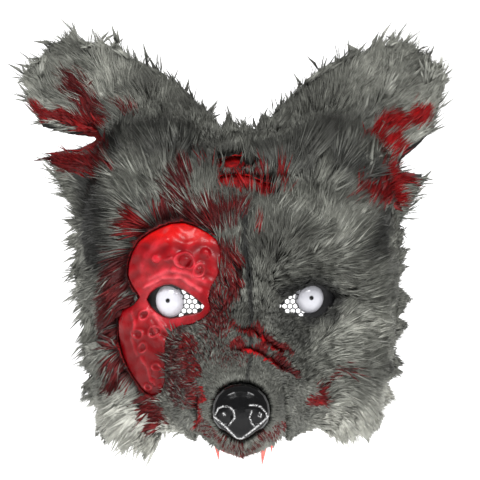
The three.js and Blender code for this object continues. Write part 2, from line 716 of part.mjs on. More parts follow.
// The short-pile panel over the muzzle, open at the nose.
function buildMuzzleFur(seat, cutters) {
  const base = SHELL_WALL + SEAT_GAP;
  const columns = FULL_COLUMNS.filter((c) => Math.abs(c) <= 0.42);
  const rows = steps(0, 1, 12);
  const heightAt = (across, share) => heightDown(across, 0.02, share, 0.035);
  const outer = (across, share) => facePoint(across, heightAt(across, share), base + MUZZLE_PILE);
  const inner = (across, share) => facePoint(across, heightAt(across, share), -BURIED);
  const sheet = solidOf(wallBetween(columns, rows, outer, inner));
  const panel = sheet.intersect(prism(muzzleOutline(-SEAM_GAP), FRONT_MOST, REAR_MOST));
  return mainBody(panel.subtract(seat).subtract(joined(cutters)));
}

// The frame of an ear: its root, the way to its tip, and the way to its upper edge.
function earFrame(side) {
  const lean = THREE.MathUtils.degToRad(EAR_LEAN_DEG[sideName(side)]);
  const along = new THREE.Vector3(side * Math.cos(lean), 0, Math.sin(lean));
  const upper = new THREE.Vector3(-side * Math.sin(lean), 0, Math.cos(lean));
  const root = new THREE.Vector3(side * EAR_BASE_ACROSS, EAR_SET_BACK, EAR_BASE_UP);
  return { root, along, upper, length: EAR_LENGTH[sideName(side)] };
}

// A point on an ear's middle surface: share along it, and across it from -1 at the outer edge to 1 at the upper.
function earPoint(side, share, across, thicknessSide, clearance) {
  const { root, along, upper, length } = earFrame(side);
  const reachUpper = readTable(EAR_ROWS, "along", "upper", share) * EAR_HALF_WIDTH;
  const reachOuter = readTable(EAR_ROWS, "along", "outer", share) * EAR_HALF_WIDTH;
  const reach = across > 0 ? reachUpper + clearance : reachOuter + clearance;
  const crown = Math.sqrt(Math.max(1 - across ** 4, 0)) * 0.8 + 0.2;
  const thick = readTable(EAR_ROWS, "along", "thick", share) * EAR_THICKNESS * 0.5 * crown + clearance;
  const cup = EAR_CUP * (1 - across * across) * (1 - 0.5 * share) - 0.2 * EAR_CUP * share;
  return root
    .addScaledVector(along, share * length)
    .addScaledVector(upper, across * reach)
    .add(new THREE.Vector3(0, cup - thicknessSide * thick, 0));
}

// The ear's cushion, grown by a clearance, with room behind it where a lining is to lie.
function earSolid(side, clearance, room) {
  const columns = side > 0 ? steps(1, -1, 8) : steps(-1, 1, 8);
  const shares = [1, 0.95, 0.85, 0.7, 0.55, 0.4, 0.25, 0.1, -0.04];
  const behind = new THREE.Vector3(0, room, 0);
  const front = (across, share) => earPoint(side, share, across, 1, clearance);
  const back = (across, share) => earPoint(side, share, across, -1, clearance).add(behind);
  return solidOf(wallBetween(columns, shares, front, back));
}

function biteOutline(side) {
  const { root, along, upper, length } = earFrame(side);
  const points = BITES[sideName(side)].map((b) => {
    const p = root
      .clone()
      .addScaledVector(along, b.along * length)
      .addScaledVector(upper, -b.out * EAR_HALF_WIDTH);
    return new THREE.Vector2(p.x, p.z);
  });
  return THREE.ShapeUtils.isClockWise(points) ? points.reverse() : points;
}

// The locks along an ear's two edges, round its tip and over its front.
function earLocks(side) {
  const { along, upper } = earFrame(side);
  const rows = [
    { across: 0.85, shares: steps(0.2, 0.92, 6), spread: 1.3, size: 0.5 },
    { across: -0.75, shares: [0.87, 0.96], spread: -1.2, size: 0.3 },
    { across: 0.2, shares: [0.95], spread: 0.1, size: 0.45 },
    { across: 0.3, shares: [0.3, 0.52, 0.72], spread: 0.3, size: 1.1 },
  ];
  return rows.flatMap(({ across, shares, spread, size }, row) =>
    shares.map((share, k) => {
      const n = side * (row * 10 + k) + 200;
      const onFront = Math.abs(across) < 0.5 && share < 0.9;
      const root = earPoint(side, share, across, onFront ? 0.7 : 0, 0);
      const direction = along.clone().addScaledVector(upper, spread * (0.7 + 0.6 * scatter(n)));
      direction.y = onFront ? -0.12 : 0;
      const reach = LOCK_LENGTH * size * (0.8 + 0.4 * scatter(n + 7));
      return lock(root, direction, TOWARDS_VIEWER, reach, scatter(n + 3) - 0.5);
    }),
  );
}

function buildEar(side, shell) {
  const body = earSolid(side, 0, 0);
  const ear = joined([body, ...earLocks(side)]);
  return mainBody(ear.subtract(prism(biteOutline(side), FRONT_MOST, REAR_MOST)).subtract(shell));
}

// The dark felt that shows where the ear is torn: a layer behind the ear with its own shallower tear.
function buildLining(side) {
  const layer = earSolid(side, 0, SEAT_GAP + LINING_THICKNESS).subtract(earSolid(side, 0, SEAT_GAP));
  const patch = prism(offsetOutline(biteOutline(side), LINING_MARGIN), 0, REAR_MOST);
  const tear = prism(offsetOutline(biteOutline(side), -LINING_SHOWS), FRONT_MOST, REAR_MOST);
  return mainBody(layer.intersect(patch).subtract(tear));
}

// The glossy nose: a dome over its outline, hollowed to the muzzle's front, with raised nostril rims.
function buildNose(seat) {
  const outline = noseOutline(0);
  const centre = new THREE.Vector2(0, -NOSE_DROP);
  const tipY = facePoint(0, -NOSE_DROP / LIP_DROP, SHELL_WALL).y;
  const rings = [
    { share: 1, forward: -0.9 },
    { share: 1, forward: 0.25 },
    { share: 0.93, forward: 0.55 },
    { share: 0.78, forward: 0.8 },
    { share: 0.55, forward: 0.95 },
    { share: 0.25, forward: 1.0 },
  ];
  const rim = [...outline, outline[0]];
  const columns = rim.map((_, k) => k);
  const positions = rings.flatMap((ring) =>
    columns.slice(0, -1).map((k) => {
      const p = outline[k].clone().sub(centre).multiplyScalar(ring.share).add(centre);
      return [p.x, tipY - NOSE_BULGE * ring.forward, p.y];
    }),
  );
  positions.push([0, tipY - NOSE_BULGE * 1.01, -NOSE_DROP], [0, tipY + NOSE_BULGE * 0.9, -NOSE_DROP]);
  const round = outline.length;
  const front = positions.length - 2;
  const rear = positions.length - 1;
  const faces = [];
  for (let k = 0; k < round; k++) {
    const next = (k + 1) % round;
    for (let ring = 0; ring + 1 < rings.length; ring++) {
      const [a, b] = [ring * round + k, ring * round + next];
      faces.push(a, b, b + round, a, b + round, a + round);
    }
    const last = (rings.length - 1) * round;
    faces.push(last + k, last + next, front);
    faces.push(next, k, rear);
  }
  const geometry = new THREE.BufferGeometry();
  geometry.setAttribute("position", new THREE.Float32BufferAttribute(positions.flat(), 3));
  geometry.setIndex(faces);
  let nose = solidOf(geometry);
  for (const side of [-1, 1]) {
    const spine = NOSTRIL_CURL.map((p) => {
      const x = side * p.out * NOSE_HALF_WIDTH;
      const z = -NOSE_DROP + p.up * NOSE_HALF_WIDTH;
      const reach = Math.hypot(p.out, p.up);
      const forward = reach < 0.55 ? 0.95 : reach < 0.78 ? 0.84 : 0.66;
      return new THREE.Vector3(x, tipY - NOSE_BULGE * forward, z);
    });
    const section = new THREE.Shape(
      steps(0, 1, 5)
        .slice(0, 5)
        .map(
          (t) =>
            new THREE.Vector2(NOSTRIL_RIDGE * Math.cos(t * 2 * Math.PI), NOSTRIL_RIDGE * Math.sin(t * 2 * Math.PI)),
        ),
    );
    const rimTube = new THREE.ExtrudeGeometry(section, {
      steps: 9,
      bevelEnabled: false,
      extrudePath: new THREE.CatmullRomCurve3(spine),
    });
    nose = nose.add(solidOf(rimTube));
  }
  return mainBody(nose.subtract(seat));
}

// A fang: a slightly curved cone that is rooted behind the lip, against its inner wall, and hangs below it.
function buildFang(fang) {
  const radius = FANG_RADIUS * Math.sqrt(fang.size);
  const length = FANG_LENGTH * fang.size;
  const radiusAtLip = (radius * length) / (length + FANG_ROOT);
  const edge = lowerEdge(fang.side);
  const behind = -SEAT_GAP - radiusAtLip * 1.12;
  const lip = facePoint(fang.side, edge, 0).addScaledVector(faceNormal(fang.side, edge), behind);
  const cone = new THREE.ConeGeometry(radius, length + FANG_ROOT, 8, 3);
  cone.rotateX(-QUARTER_TURN);
  const positions = cone.getAttribute("position");
  for (let k = 0; k < positions.count; k++) {
    const down = 0.5 - positions.getZ(k) / (length + FANG_ROOT);
    positions.setX(k, positions.getX(k) - Math.sign(fang.side) * down * down);
  }
  cone.translate(lip.x, lip.y, lip.z + (FANG_ROOT - length) / 2);
  return solidOf(cone);
}

const FINISHES = {
  shell: { color: 0x3a3836, roughness: 0.55, metalness: 0 },
  wound: { color: 0xc8101c, roughness: 0.22, metalness: 0 },
  fur: { color: 0x6c6e6a, roughness: 0.95, metalness: 0 },
  felt: { color: 0x2a2c2b, roughness: 0.95, metalness: 0 },
  net: { color: 0x0c0c0d, roughness: 0.7, metalness: 0 },
  eyeball: { color: 0xe6e7ea, roughness: 0.2, metalness: 0 },
  nose: { color: 0x0d0e10, roughness: 0.12, metalness: 0 },
  fang: { color: 0xd9443f, roughness: 0.3, metalness: 0 },
};

const mask = new THREE.Group();
mask.name = "wolf_mask";

function addPiece(name, solid, finish) {
  const mesh = new THREE.Mesh(geometryOf(solid), new THREE.MeshStandardMaterial(FINISHES[finish]));
  mesh.name = name;
  mask.add(mesh);
}

const shell = buildShell();
const netFront = headBlock(0);
const coverSeat = headBlock(SHELL_WALL + SEAT_GAP);
const noseHole = prism(noseOutline(FUR_CUT_CLEARANCE), FRONT_MOST, REAR_MOST);
const muzzleHole = prism(muzzleOutline(SEAM_GAP), FRONT_MOST, REAR_MOST);
const woundHole = prism(woundOutline(FUR_CUT_CLEARANCE), FRONT_MOST, 0);
const rightEyeHole = prism(eyeOutline(1, FUR_CUT_CLEARANCE), FRONT_MOST, 0);
const gashHoles = GASHES.map((gash) => prism(gashOutline(gash), FRONT_MOST, 0));
const liningRoom = LINING_THICKNESS + 2 * SEAT_GAP;
const earRoom = { left: earSolid(-1, SEAM_GAP, liningRoom), right: earSolid(1, SEAM_GAP, liningRoom) };

addPiece("face_shell", shell, "shell");
addPiece("wound_plate", buildWound(coverSeat), "wound");
addPiece("fur_left", buildFurPanel(-1, coverSeat, [muzzleHole, woundHole, earRoom.left, ...gashHoles]), "fur");
addPiece("fur_right", buildFurPanel(1, coverSeat, [muzzleHole, rightEyeHole, earRoom.right, ...gashHoles]), "fur");
addPiece("fur_muzzle", buildMuzzleFur(coverSeat, [noseHole, ...gashHoles]), "fur");
for (const [side, word] of [
  [-1, "left"],
  [1, "right"],
]) {
  addPiece("ear_" + word, buildEar(side, coverSeat), "fur");
  addPiece("ear_lining_" + word, buildLining(side), "felt");
  addPiece("eye_net_" + word, buildNet(side), "net");
  addPiece("eyeball_" + word, buildEyeball(side, netFront), "eyeball");
}
addPiece("nose", buildNose(coverSeat), "nose");
for (const fang of FANGS) addPiece(fang.name, buildFang(fang), "fang");

export default mask;
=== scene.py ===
import math

import bpy
import numpy as np
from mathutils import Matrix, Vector
from mathutils.bvhtree import BVHTree
from mathutils.kdtree import KDTree


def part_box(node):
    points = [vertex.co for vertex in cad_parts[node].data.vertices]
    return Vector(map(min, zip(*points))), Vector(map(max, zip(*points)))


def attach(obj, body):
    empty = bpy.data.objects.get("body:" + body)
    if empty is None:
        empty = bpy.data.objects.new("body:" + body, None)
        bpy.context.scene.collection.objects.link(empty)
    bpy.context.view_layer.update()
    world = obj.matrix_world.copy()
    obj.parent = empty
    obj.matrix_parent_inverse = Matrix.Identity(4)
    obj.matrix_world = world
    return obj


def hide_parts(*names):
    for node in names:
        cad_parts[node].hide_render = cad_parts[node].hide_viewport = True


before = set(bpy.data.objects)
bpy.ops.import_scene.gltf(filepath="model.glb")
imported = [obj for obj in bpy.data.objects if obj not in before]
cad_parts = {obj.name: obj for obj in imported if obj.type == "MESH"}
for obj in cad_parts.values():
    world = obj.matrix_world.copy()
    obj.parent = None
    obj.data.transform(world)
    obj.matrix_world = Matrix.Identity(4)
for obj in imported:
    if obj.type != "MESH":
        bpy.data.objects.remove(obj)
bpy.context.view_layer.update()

# Sizes in metres, unless a comment says millimetres. The mask faces -Y, and its eyes are near Z = 0.
CAMERA_BACK = 1.3
CAMERA_UP = 0.0396
CAMERA_ACROSS = -0.00066
CAMERA_LENS = 147.7
SENSOR_WIDTH = 36

FLOOR_HEIGHT = -0.26
FLOOR_LENGTH = 8
FLOOR_WIDENED = 3
BACKDROP_HEIGHT = 4
BACKDROP_CURVE = 1.5
# Each lamp: its name, place, target, width and height, power, and whether gloss mirrors it.
LAMPS = (
    ("key_left", (-0.5, -1.3, 1.0), (0, -0.05, 0), (0.5, 0.4), 20, True),
    ("key_right", (0.5, -1.3, 1.0), (0, -0.05, 0), (0.5, 0.4), 18, True),
    ("front_fill", (0, -2.4, 0.2), (0, 0, 0), (2.2, 1.6), 20, False),
)

EYE_SPREAD = 0.0463
EYE_HEIGHT = 0.0008
EYEBALL_CENTRE_Y = -0.0474
EYEBALL_RADIUS = 0.0092
EYEBALL_BULGE = 0.0065
EYEBALL_TURN = 0.3
EYEBALL_CUT = 0.0021
# How much wider and taller each dome is than round, and how far it moves across and up.
EYEBALL_GROWN = {"left": (1.1, 1.25), "right": (1.1, 1.13)}
EYEBALL_MOVED = {"left": (0.0018, 0.0004), "right": (-0.0036, 0.0021)}
PUPIL_RADIUS = 0.0011
PUPIL_DEPTH = 0.0014
# Shades of a dome from the middle of its pupil outwards, each at a share of their reach.
EYEBALL_SHADES = ((0, 0.01), (0.135, 0.01), (0.145, 0.42), (0.165, 0.55), (0.19, 0.7), (1, 0.72))
EYEBALL_SHADES_REACH = 0.01

FANG_LONGER = {"fang_left": 1.22, "fang_right": 1.32, "fang_right_small": 1.5}
FANG_WIDTH_SHARE = 0.62
FANG_POINT_SHARE = 0.05
FANG_SWELL = 0.35
FANG_HOOK = 0.0011

NOSE_TIP = np.array([0, -0.149, -0.0615])
HEAD_MIDDLE = np.array([0, 0.01, 0])

EAR_ROOT_ACROSS = 0.066
EAR_ROOT_UP = 0.084
EAR_ROOT_BACK = 0.004
EAR_LENGTH = 0.1
EAR_HALF_WIDTH = 0.03
EAR_LEAN = {"left": 45, "right": 49}
# Notches torn out of the ears: middle and radius.
BITES = ((Vector((-0.108, 0.008, 0.104)), 0.022), (Vector((0.112, 0.008, 0.09)), 0.012))

# Red paint on the shell: the middle of each place, and where its soft edge begins and ends.
BROW_PAINT = ((0.003, -0.06, 0.085), 0.042, 0.047)
BRIDGE_PAINT = ((0.012, -0.105, -0.022), 0.032, 0.036)
WOUND_PAINT = ((-0.052, -0.05, -0.008), 0.058, 0.066)
LIP_PAINT = (-0.079, -0.0765)

UNDERCOAT_VOXEL = 0.0017
UNDERCOAT_SUNK = 0.0012
FACE_STRANDS = 60500
EAR_STRANDS = 27500
MUZZLE_STRANDS = 24000
# How high strands stand off the hide, as an angle.
FACE_LIFT = 0.3
EAR_LIFT = 0.22
MUZZLE_LIFT = 0.15
# Locks of strands, the large ones first: how many share a lock, and how far their tips draw together.
FACE_LOCKS = ((110, 0.3), (8, 0.5))
EAR_LOCKS = ((70, 0.2), (9, 0.38))
MUZZLE_LOCKS = ((9, 0.25),)
FACE_PILE = 0.00728
FACE_PILE_GAIN = 0.01848
MUZZLE_PILE = 0.006
MUZZLE_PILE_GAIN = 0.006
EAR_PILE = 0.018
STRAND_SUNK = 0.0022
STRAND_WIDTH = 0.00036
STRAND_BEND = 0.42
# How light a strand is at its root, at both sides of its middle, and at its tip.
STRAND_SHADING = np.array([0.42, 0.89, 0.89, 1.08])
# How far strands reach over an opening, past the outline, and behind the mask.
STRAND_TRIM = 0.003
SLASH_TRIM = 0.001
RIM_REACH = 0.0018
BACK_REACH = 0.0335
SHELL_CLEARANCE = 0.0006
# Each cut keeps this share of a strand, and the shortest are left out.
CUT_SHARE = 0.72
MOST_CUTS = 7
SHORTEST_SHARE = 0.12
STRAY_SHARE = 0.03
BRIDGE_STRAY_SHARE = 0.65
STRIP_PILE_SHARE = 0.3
# What is turned further back than this has no blood.
BLOOD_STOPS = 0.35

# Colours as the eye names them.
GREY_DARK = (0.235, 0.235, 0.22)
GREY_MID = (0.515, 0.52, 0.49)
GREY_PALE = (0.84, 0.84, 0.8)
BLOOD_DARK = (0.28, 0.085, 0.09)
BLOOD_BRIGHT = (0.64, 0.05, 0.06)
# Dark grey: painted shade in the pile, dark tone round the right eye, and the bare patch by the bite.
SHADE_AND_DARK_GREY = (0.13, 0.13, 0.13)
FELT = (0.17, 0.17, 0.17)
SLASH_RED = (0.8, 0.03, 0.04)
WOUND_EDGE_RED = (0.5, 0.07, 0.08)
# The wound's raised red and its pink are painted highlight; its sunk and deep reds are painted shade.
WOUND_PLAIN = (0.45, 0.01, 0.04)
WOUND_RAISED_HIGHLIGHT = (0.64, 0.09, 0.14)
WOUND_SUNK_SHADE = (0.27, 0, 0.015)
WOUND_TOP = (0.7, 0.02, 0.01)
WOUND_LID = (0.74, 0.3, 0.32)
WOUND_LOW = (0.33, 0.005, 0.02)
WOUND_HOLLOW_SHADE = (0.34, 0.01, 0.03)
WOUND_PINK_HIGHLIGHT = (0.84, 0.42, 0.43)
WOUND_SIDE = (0.45, 0.02, 0.03)

# Areas seen from the front, in millimetres: middle across and up, half the width, half the height.
BROW_AREA = (3, 82, 36, 20)
BROW_SLITS = (3, 82, 27, 15)
BROW_OPENING = (3, 82, 29, 16)
BROW_STRIP = (0, 83.5, 18, 3)
WOUND_AREA = (-50, -4, 40, 62)
BRIDGE_AREA = (14, -30, 30, 24)
BRIDGE_SLITS = (14, -33, 26, 20)
BRIDGE_OPENING = (14, -31.5, 24, 20.5)
EYE_AREAS = ((-46, 0, 26, 17), (46, 0, 26, 17))

# Painted places, seen from the front, in millimetres from the middle of the eye line. Each row is a
# stroke from one point to another: across, up, across, up, radius, strength, and a blood's brightness.
BLOOD_STROKES = [
    (-37, 82, -48, 58, 6, 0.75, 0.1),
    (-55, 54, -8, 54, 7.5, 0.9, 0.1),
    (-71, 56, -76, 22, 3.5, 0.95, 0.5),
    (-60, 50, -76, 14, 7, 0.75, 0.1),
    (-78, 25, -86, -20, 8, 0.75, 0.15),
    (-86, -20, -80, -52, 7, 0.75, 0.25),
    (-70, -55, -57, -76, 7, 0.8, 0.35),
    (-61, -62, -57, -84, 3.5, 0.85, 0.4),
    (-35, -28, -31, -68, 5.5, 0.75, 0.35),
    (-45, -26, -42, -62, 6, 0.6, 0.1),
    (-9, 30, -17, -18, 8, 0.7, 0.15),
    (-1, 27, -4, 1, 3, 0.8, 0.3),
    (49, -67, 53, -61, 4.5, 0.95, 0.6),
    (52, -58, 72, -43, 3, 0.45, 0.3),
    (24, 85, 28, 84, 1.8, 0.8, 0.6),
    (12, 46, 13, 48, 1.6, 0.8, 0.5),
    (-27, -82, -2, -99, 3, 0.5, 0.3),
    (2, -99, 27, -84, 3, 0.5, 0.3),
    (-25, -58, -29, -82, 1.6, 0.9, 0.8),
    (-26, 88, -4, 89, 2.2, 0.35, 0.5),
    (-4, 89, 16, 89, 2.2, 0.35, 0.5),
    (-16, 83, 12, 84, 2, 0.7, 0.3),
    (-14, 78, 10, 77, 3, 0.8, 0.8),
    (10, 77, 28, 71, 3, 0.8, 0.6),
    (-5, -19, 12, -21, 3.1, 0.85, 0.4),
    (12, -21, 30, -33, 2.9, 0.85, 0.3),
    (-7, -30, 12, -32, 3.2, 0.85, 0.4),
    (12, -32, 34, -48, 3.1, 0.85, 0.25),
    (-2, -38, -24, -34, 7, 0.2, 0),
    (-134, 124, -92, 114, 4, 0.95, 0.45),
    (-110, 143, -94, 122, 7, 0.85, 0.15),
    (-78, 128, -71, 122, 3, 0.5, 0.3),
    (-123, 94, -91, 86, 6.5, 0.95, 0.3),
    (-104, 113, -92, 107, 3, 0.95, 0.75),
    (-105, 98, -94, 104, 2.5, 0.9, 0.5),
    (90, 113, 120, 121, 5.5, 0.95, 0.75),
    (86, 104, 101, 99, 6.5, 0.95, 0.7),
    (80, 70, 90, 66, 6, 0.95, 0.7),
    (97, 82, 99, 66, 6, 0.95, 0.65),
    (99, 82, 112, 80, 4.5, 0.9, 0.55),
]
# Dark and pale places in the grey. The dark ones are painted shade at the ear roots, along the parting
# and deep in the pile at the sides, and round the right eye dark tone with painted shade.
SHADE_AND_DARK_STROKES = [
    (44, 2, 50, 2, 12, 0.9),
    (56, 5, 62, 1, 6, 0.8),
    (27, 4, 33, 6, 3.5, 0.8),
    (44, -12, 60, -10, 5, 0.7),
    (1.5, 54, 6, 8, 2.1, 0.9),
    (6, 8, 7, -33, 1.5, 0.85),
    (7, -33, 4, -52, 1.3, 0.6),
    (-98, 84, -92, 30, 9, 0.85),
    (-64, 58, -84, -30, 9, 0.35),
    (26, -12, 40, -26, 7, 0.4),
    (-94, 118, -42, 100, 12, 0.35),
    (42, 100, 90, 116, 12, 0.3),
    (94, 52, 86, 30, 6, 0.6),
    (-50, 97, -25, 92, 7, 0.45),
    (18, 97, 42, 90, 7, 0.45),
    (64, 92, 90, 74, 7, 0.6),
    (-92, 102, -84, 96, 8, 0.9),
]
PALE_STROKES = [
    (-50, -92, -92, -74, 13, 0.7),
    (55, -90, 98, -66, 14, 0.7),
    (60, 46, 74, 62, 12, 0.15),
    (60, -30, 90, -20, 15, 0.3),
]
# Beside the bite in the left ear.
BARE_PATCH = (-89, 101, -86, 97, 8, 1)
# Where the pile is shorter, and where it is longer.
SHORT_STROKES = [
    (-96, -84, -62, -108, 12, 0.7),
    (-42, -92, -32, -92, 9, 0.45),
    (40, -92, 60, -98, 10, 0.35),
    (60, -98, 96, -80, 9, 0.4),
    (104, 40, 104, -60, 9, 0.4),
    (-60, 118, -20, 96, 9, 0.4),
    (20, 96, 60, 118, 9, 0.4),
]
LONG_STROKES = [
    (-86, 84, -44, 92, 11, 0.5),
    (44, 92, 86, 84, 11, 0.5),
    (-104, 30, -96, -60, 9, 0.25),
]


def linear(colours):
    """Colours as the eye names them, made linear for the shaders."""
    colours = np.clip(colours, 0, 1)
    return np.where(colours < 0.04045, colours / 12.92, ((colours + 0.055) / 1.055) ** 2.4)


def ramp(values, start, end):
    """Rises from 0 at the start to 1 at the end, or falls where the end is the smaller."""
    return np.clip((values - start) / (end - start), 0, 1)


def toward(shades, colour, share):
    """Draws one colour, or rows of them, toward another by a share for each row."""
    shades = np.asarray(shades)
    return shades + (np.asarray(colour) - shades) * share[:, None]


def wave(along, beside, rate, sway, sway_rate, shift=0):
    """A wave from -1 to 1 whose crests wander, so that it doesn't look ruled."""
    return np.sin(along * rate + sway * np.sin(beside * sway_rate + shift))


def only(piece):
    """Selects one object and nothing else."""
    bpy.ops.object.select_all(action="DESELECT")
    piece.select_set(True)
    bpy.context.view_layer.objects.active = piece


def apply_modifier(piece, kind, **settings):
    """Gives a piece a modifier and applies it."""
    only(piece)
    modifier = piece.modifiers.new(kind.lower(), kind)
    for setting, value in settings.items():
        setattr(modifier, setting, value)
    bpy.ops.object.modifier_apply(modifier=modifier.name)


def edit_all(operation, **settings):
    """Runs an edit operation on the whole mesh of the active object."""
    bpy.ops.object.mode_set(mode="EDIT")
    bpy.ops.mesh.select_all(action="SELECT")
    operation(**settings)
    bpy.ops.mesh.select_all(action="DESELECT")
    bpy.ops.object.mode_set(mode="OBJECT")


def placed(name, data):
    """A new object in the scene."""
    piece = bpy.data.objects.new(name, data)
    bpy.context.scene.collection.objects.link(piece)
    return piece


def copy_of(node_name, name):
    """A merged copy of a CAD node, to be finished as a piece of its own."""
    piece = placed(name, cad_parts[node_name].data.copy())
    piece.data.materials.clear()
    only(piece)
    edit_all(bpy.ops.mesh.remove_doubles, threshold=1e-5)
    return piece


def refined_copy(node_name, name, voxel, rounds, keep_share=1):
    """A copy without facets: remeshed finely, smoothed, and thinned out again where it may be."""
    piece = copy_of(node_name, name)
    apply_modifier(piece, "REMESH", mode="VOXEL", voxel_size=voxel)
    apply_modifier(piece, "SMOOTH", factor=0.5, iterations=rounds)
    if keep_share < 1:
        apply_modifier(piece, "DECIMATE", ratio=keep_share)
    bpy.ops.object.shade_smooth()
    return piece


def rows_of(mesh, what):
    """One row for each point of a mesh."""
    rows = np.empty(len(mesh.vertices) * 3)
    mesh.vertices.foreach_get(what, rows)
    return rows.reshape(-1, 3)


def points_of(mesh):
    return rows_of(mesh, "co")


def normals_of(mesh):
    return rows_of(mesh, "normal")


def move_points(mesh, points):
    mesh.vertices.foreach_set("co", points.ravel())
    mesh.update()


def unit(rows):
    return rows / np.maximum(np.linalg.norm(rows, axis=1, keepdims=True), 1e-9)


def seen_from_front(points):
    """Where points fall on the upright plane through the eyes, in millimetres across and up."""
    nearer = CAMERA_BACK / (CAMERA_BACK + points[:, 1])
    across = points[:, 0] * nearer
    up = CAMERA_UP + (points[:, 2] - CAMERA_UP) * nearer
    return np.stack([across, up], axis=1) * 1000


def away_from_line(places, start, end):
    """How far places lie from the straight line between two others."""
    start = np.array(start, dtype=float)
    run = np.array(end, dtype=float) - start
    along = np.clip((places - start) @ run / max(run @ run, 1e-9), 0, 1)
    return np.linalg.norm(places - start - along[:, None] * run, axis=1)


def stroke_share(places, stroke):
    """How far places lie inside a stroke, from 0 outside to 1 within, with a soft edge."""
    radius, strength = stroke[4:6]
    away = away_from_line(places, stroke[0:2], stroke[2:4])
    return ramp(away, radius * 1.35, radius * 0.65) * strength


def strongest(places, strokes):
    return np.max([stroke_share(places, stroke) for stroke in strokes], axis=0)


def within(places, area):
    """True for the places inside an area."""
    across, up, half_width, half_height = area
    inside = np.abs(places[:, 0] - across) < half_width
    return inside & (np.abs(places[:, 1] - up) < half_height)


def set_tint(mesh, colours):
    """Stores a colour, as the eye names it, at every point for a material to read as tint."""
    tint = mesh.attributes.new("tint", "FLOAT_COLOR", "POINT")
    rows = np.ones((len(colours), 4))
    rows[:, :3] = linear(colours)
    tint.data.foreach_set("color", rows.ravel())


def finish_piece(piece, material, slot, *replaced):
    piece.data.materials.clear()
    piece.data.materials.append(material)
    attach(piece, "root")
    if replaced:
        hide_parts(*replaced)


# Materials


def new_material(name):
    material = bpy.data.materials.new(name)
    material.use_nodes = True
    shader = material.node_tree.nodes["Principled BSDF"]
    return material, material.node_tree, shader


def object_place(tree):
    return tree.nodes.new("ShaderNodeTexCoord").outputs["Object"]


def set_inputs(tree, node, inputs):
    """Sets inputs of a node to plain values, or links the output of another node to them."""
    for name, value in inputs.items():
        if isinstance(value, bpy.types.NodeSocket):
            tree.links.new(value, node.inputs[name])
        else:
            node.inputs[name].default_value = value


def noise(tree, scale, detail):
    """A noise pattern fixed to the object."""
    texture = tree.nodes.new("ShaderNodeTexNoise")
    set_inputs(tree, texture, {"Scale": scale, "Detail": detail, "Vector": object_place(tree)})
    return texture.outputs["Fac"]


def ranged(tree, value, low, high, to_low, to_high):
    node = tree.nodes.new("ShaderNodeMapRange")
    limits = {"From Min": low, "From Max": high, "To Min": to_low, "To Max": to_high}
    set_inputs(tree, node, {"Value": value, **limits})
    return node.outputs["Result"]


def mixed(tree, share, first, second, way="MIX"):
    """Mixes two colours, each a plain colour or a socket, by a share that is a socket or a number."""
    node = tree.nodes.new("ShaderNodeMix")
    node.data_type = "RGBA"
    node.blend_type = way
    first, second = ((*linear(c), 1) if isinstance(c, tuple) else c for c in (first, second))
    # Sockets 6 and 7 of this node take its colours, and its output 2 gives their mix.
    set_inputs(tree, node, {0: share, 6: first, 7: second})
    return node.outputs[2]


def bumped(tree, shader, height, strength, distance):
    bump = tree.nodes.new("ShaderNodeBump")
    set_inputs(tree, bump, {"Height": height, "Strength": strength, "Distance": distance})
    set_inputs(tree, shader, {"Normal": bump.outputs["Normal"]})


def surfaced(tree, shader, shade, pattern, smoothest, roughest, low=0.3, high=0.7):
    """Gives a surface its colour, and a roughness that follows a pattern."""
    rough = ranged(tree, pattern, low, high, smoothest, roughest)
    set_inputs(tree, shader, {"Base Color": shade, "Roughness": rough})


def set_gloss(tree, shader, specular=0.5, coat=0, coat_roughness=0.03):
    """Sets how strongly a surface mirrors, and the clear coat on it."""
    coats = {"Coat Weight": coat, "Coat Roughness": coat_roughness}
    set_inputs(tree, shader, {"Specular IOR Level": specular, **coats})


def distance_from(tree, point):
    node = tree.nodes.new("ShaderNodeVectorMath")
    node.operation = "DISTANCE"
    set_inputs(tree, node, {0: object_place(tree), 1: point})
    return node.outputs["Value"]


def greater(tree, first, second):
    node = tree.nodes.new("ShaderNodeMath")
    node.operation = "MAXIMUM"
    set_inputs(tree, node, {0: first, 1: second})
    return node.outputs[0]


def painted_round(tree, middle, inner, outer):
    """1 round the middle of a painted place, and 0 past its edge."""
    return ranged(tree, distance_from(tree, middle), inner, outer, 1, 0)


def tint_of(tree):
    node = tree.nodes.new("ShaderNodeAttribute")
    node.attribute_name = "tint"
    return node.outputs["Color"]


def make_fur_material():
    """Long faux-fur pile: the tint of each strand, a little uneven, with a soft gloss."""
    material, tree, shader = new_material("grey_faux_fur")
    uneven = noise(tree, 260, 4)
    darker = ranged(tree, uneven, 0.35, 0.7, 0.35, 0)
    shade = mixed(tree, darker, tint_of(tree), (0.1, 0.1, 0.1), "MULTIPLY")
    surfaced(tree, shader, shade, uneven, 0.42, 0.62)
    set_gloss(tree, shader, 0.2)
    bumped(tree, shader, noise(tree, 2600, 2), 0.15, 0.0002)
    return material


def make_undercoat_material():
    """The dense wool under the long pile, with painted shade between its curls."""
    material, tree, shader = new_material("dark_undercoat")
    curls = noise(tree, 900, 5)
    # Painted shade: near black between the curls.
    darker = ranged(tree, curls, 0.35, 0.65, 0.75, 0.1)
    shade = mixed(tree, darker, tint_of(tree), (0.03, 0.03, 0.03))
    surfaced(tree, shader, shade, curls, 0.75, 0.95)
    set_gloss(tree, shader, 0.15)
    bumped(tree, shader, curls, 0.9, 0.0012)
    return material


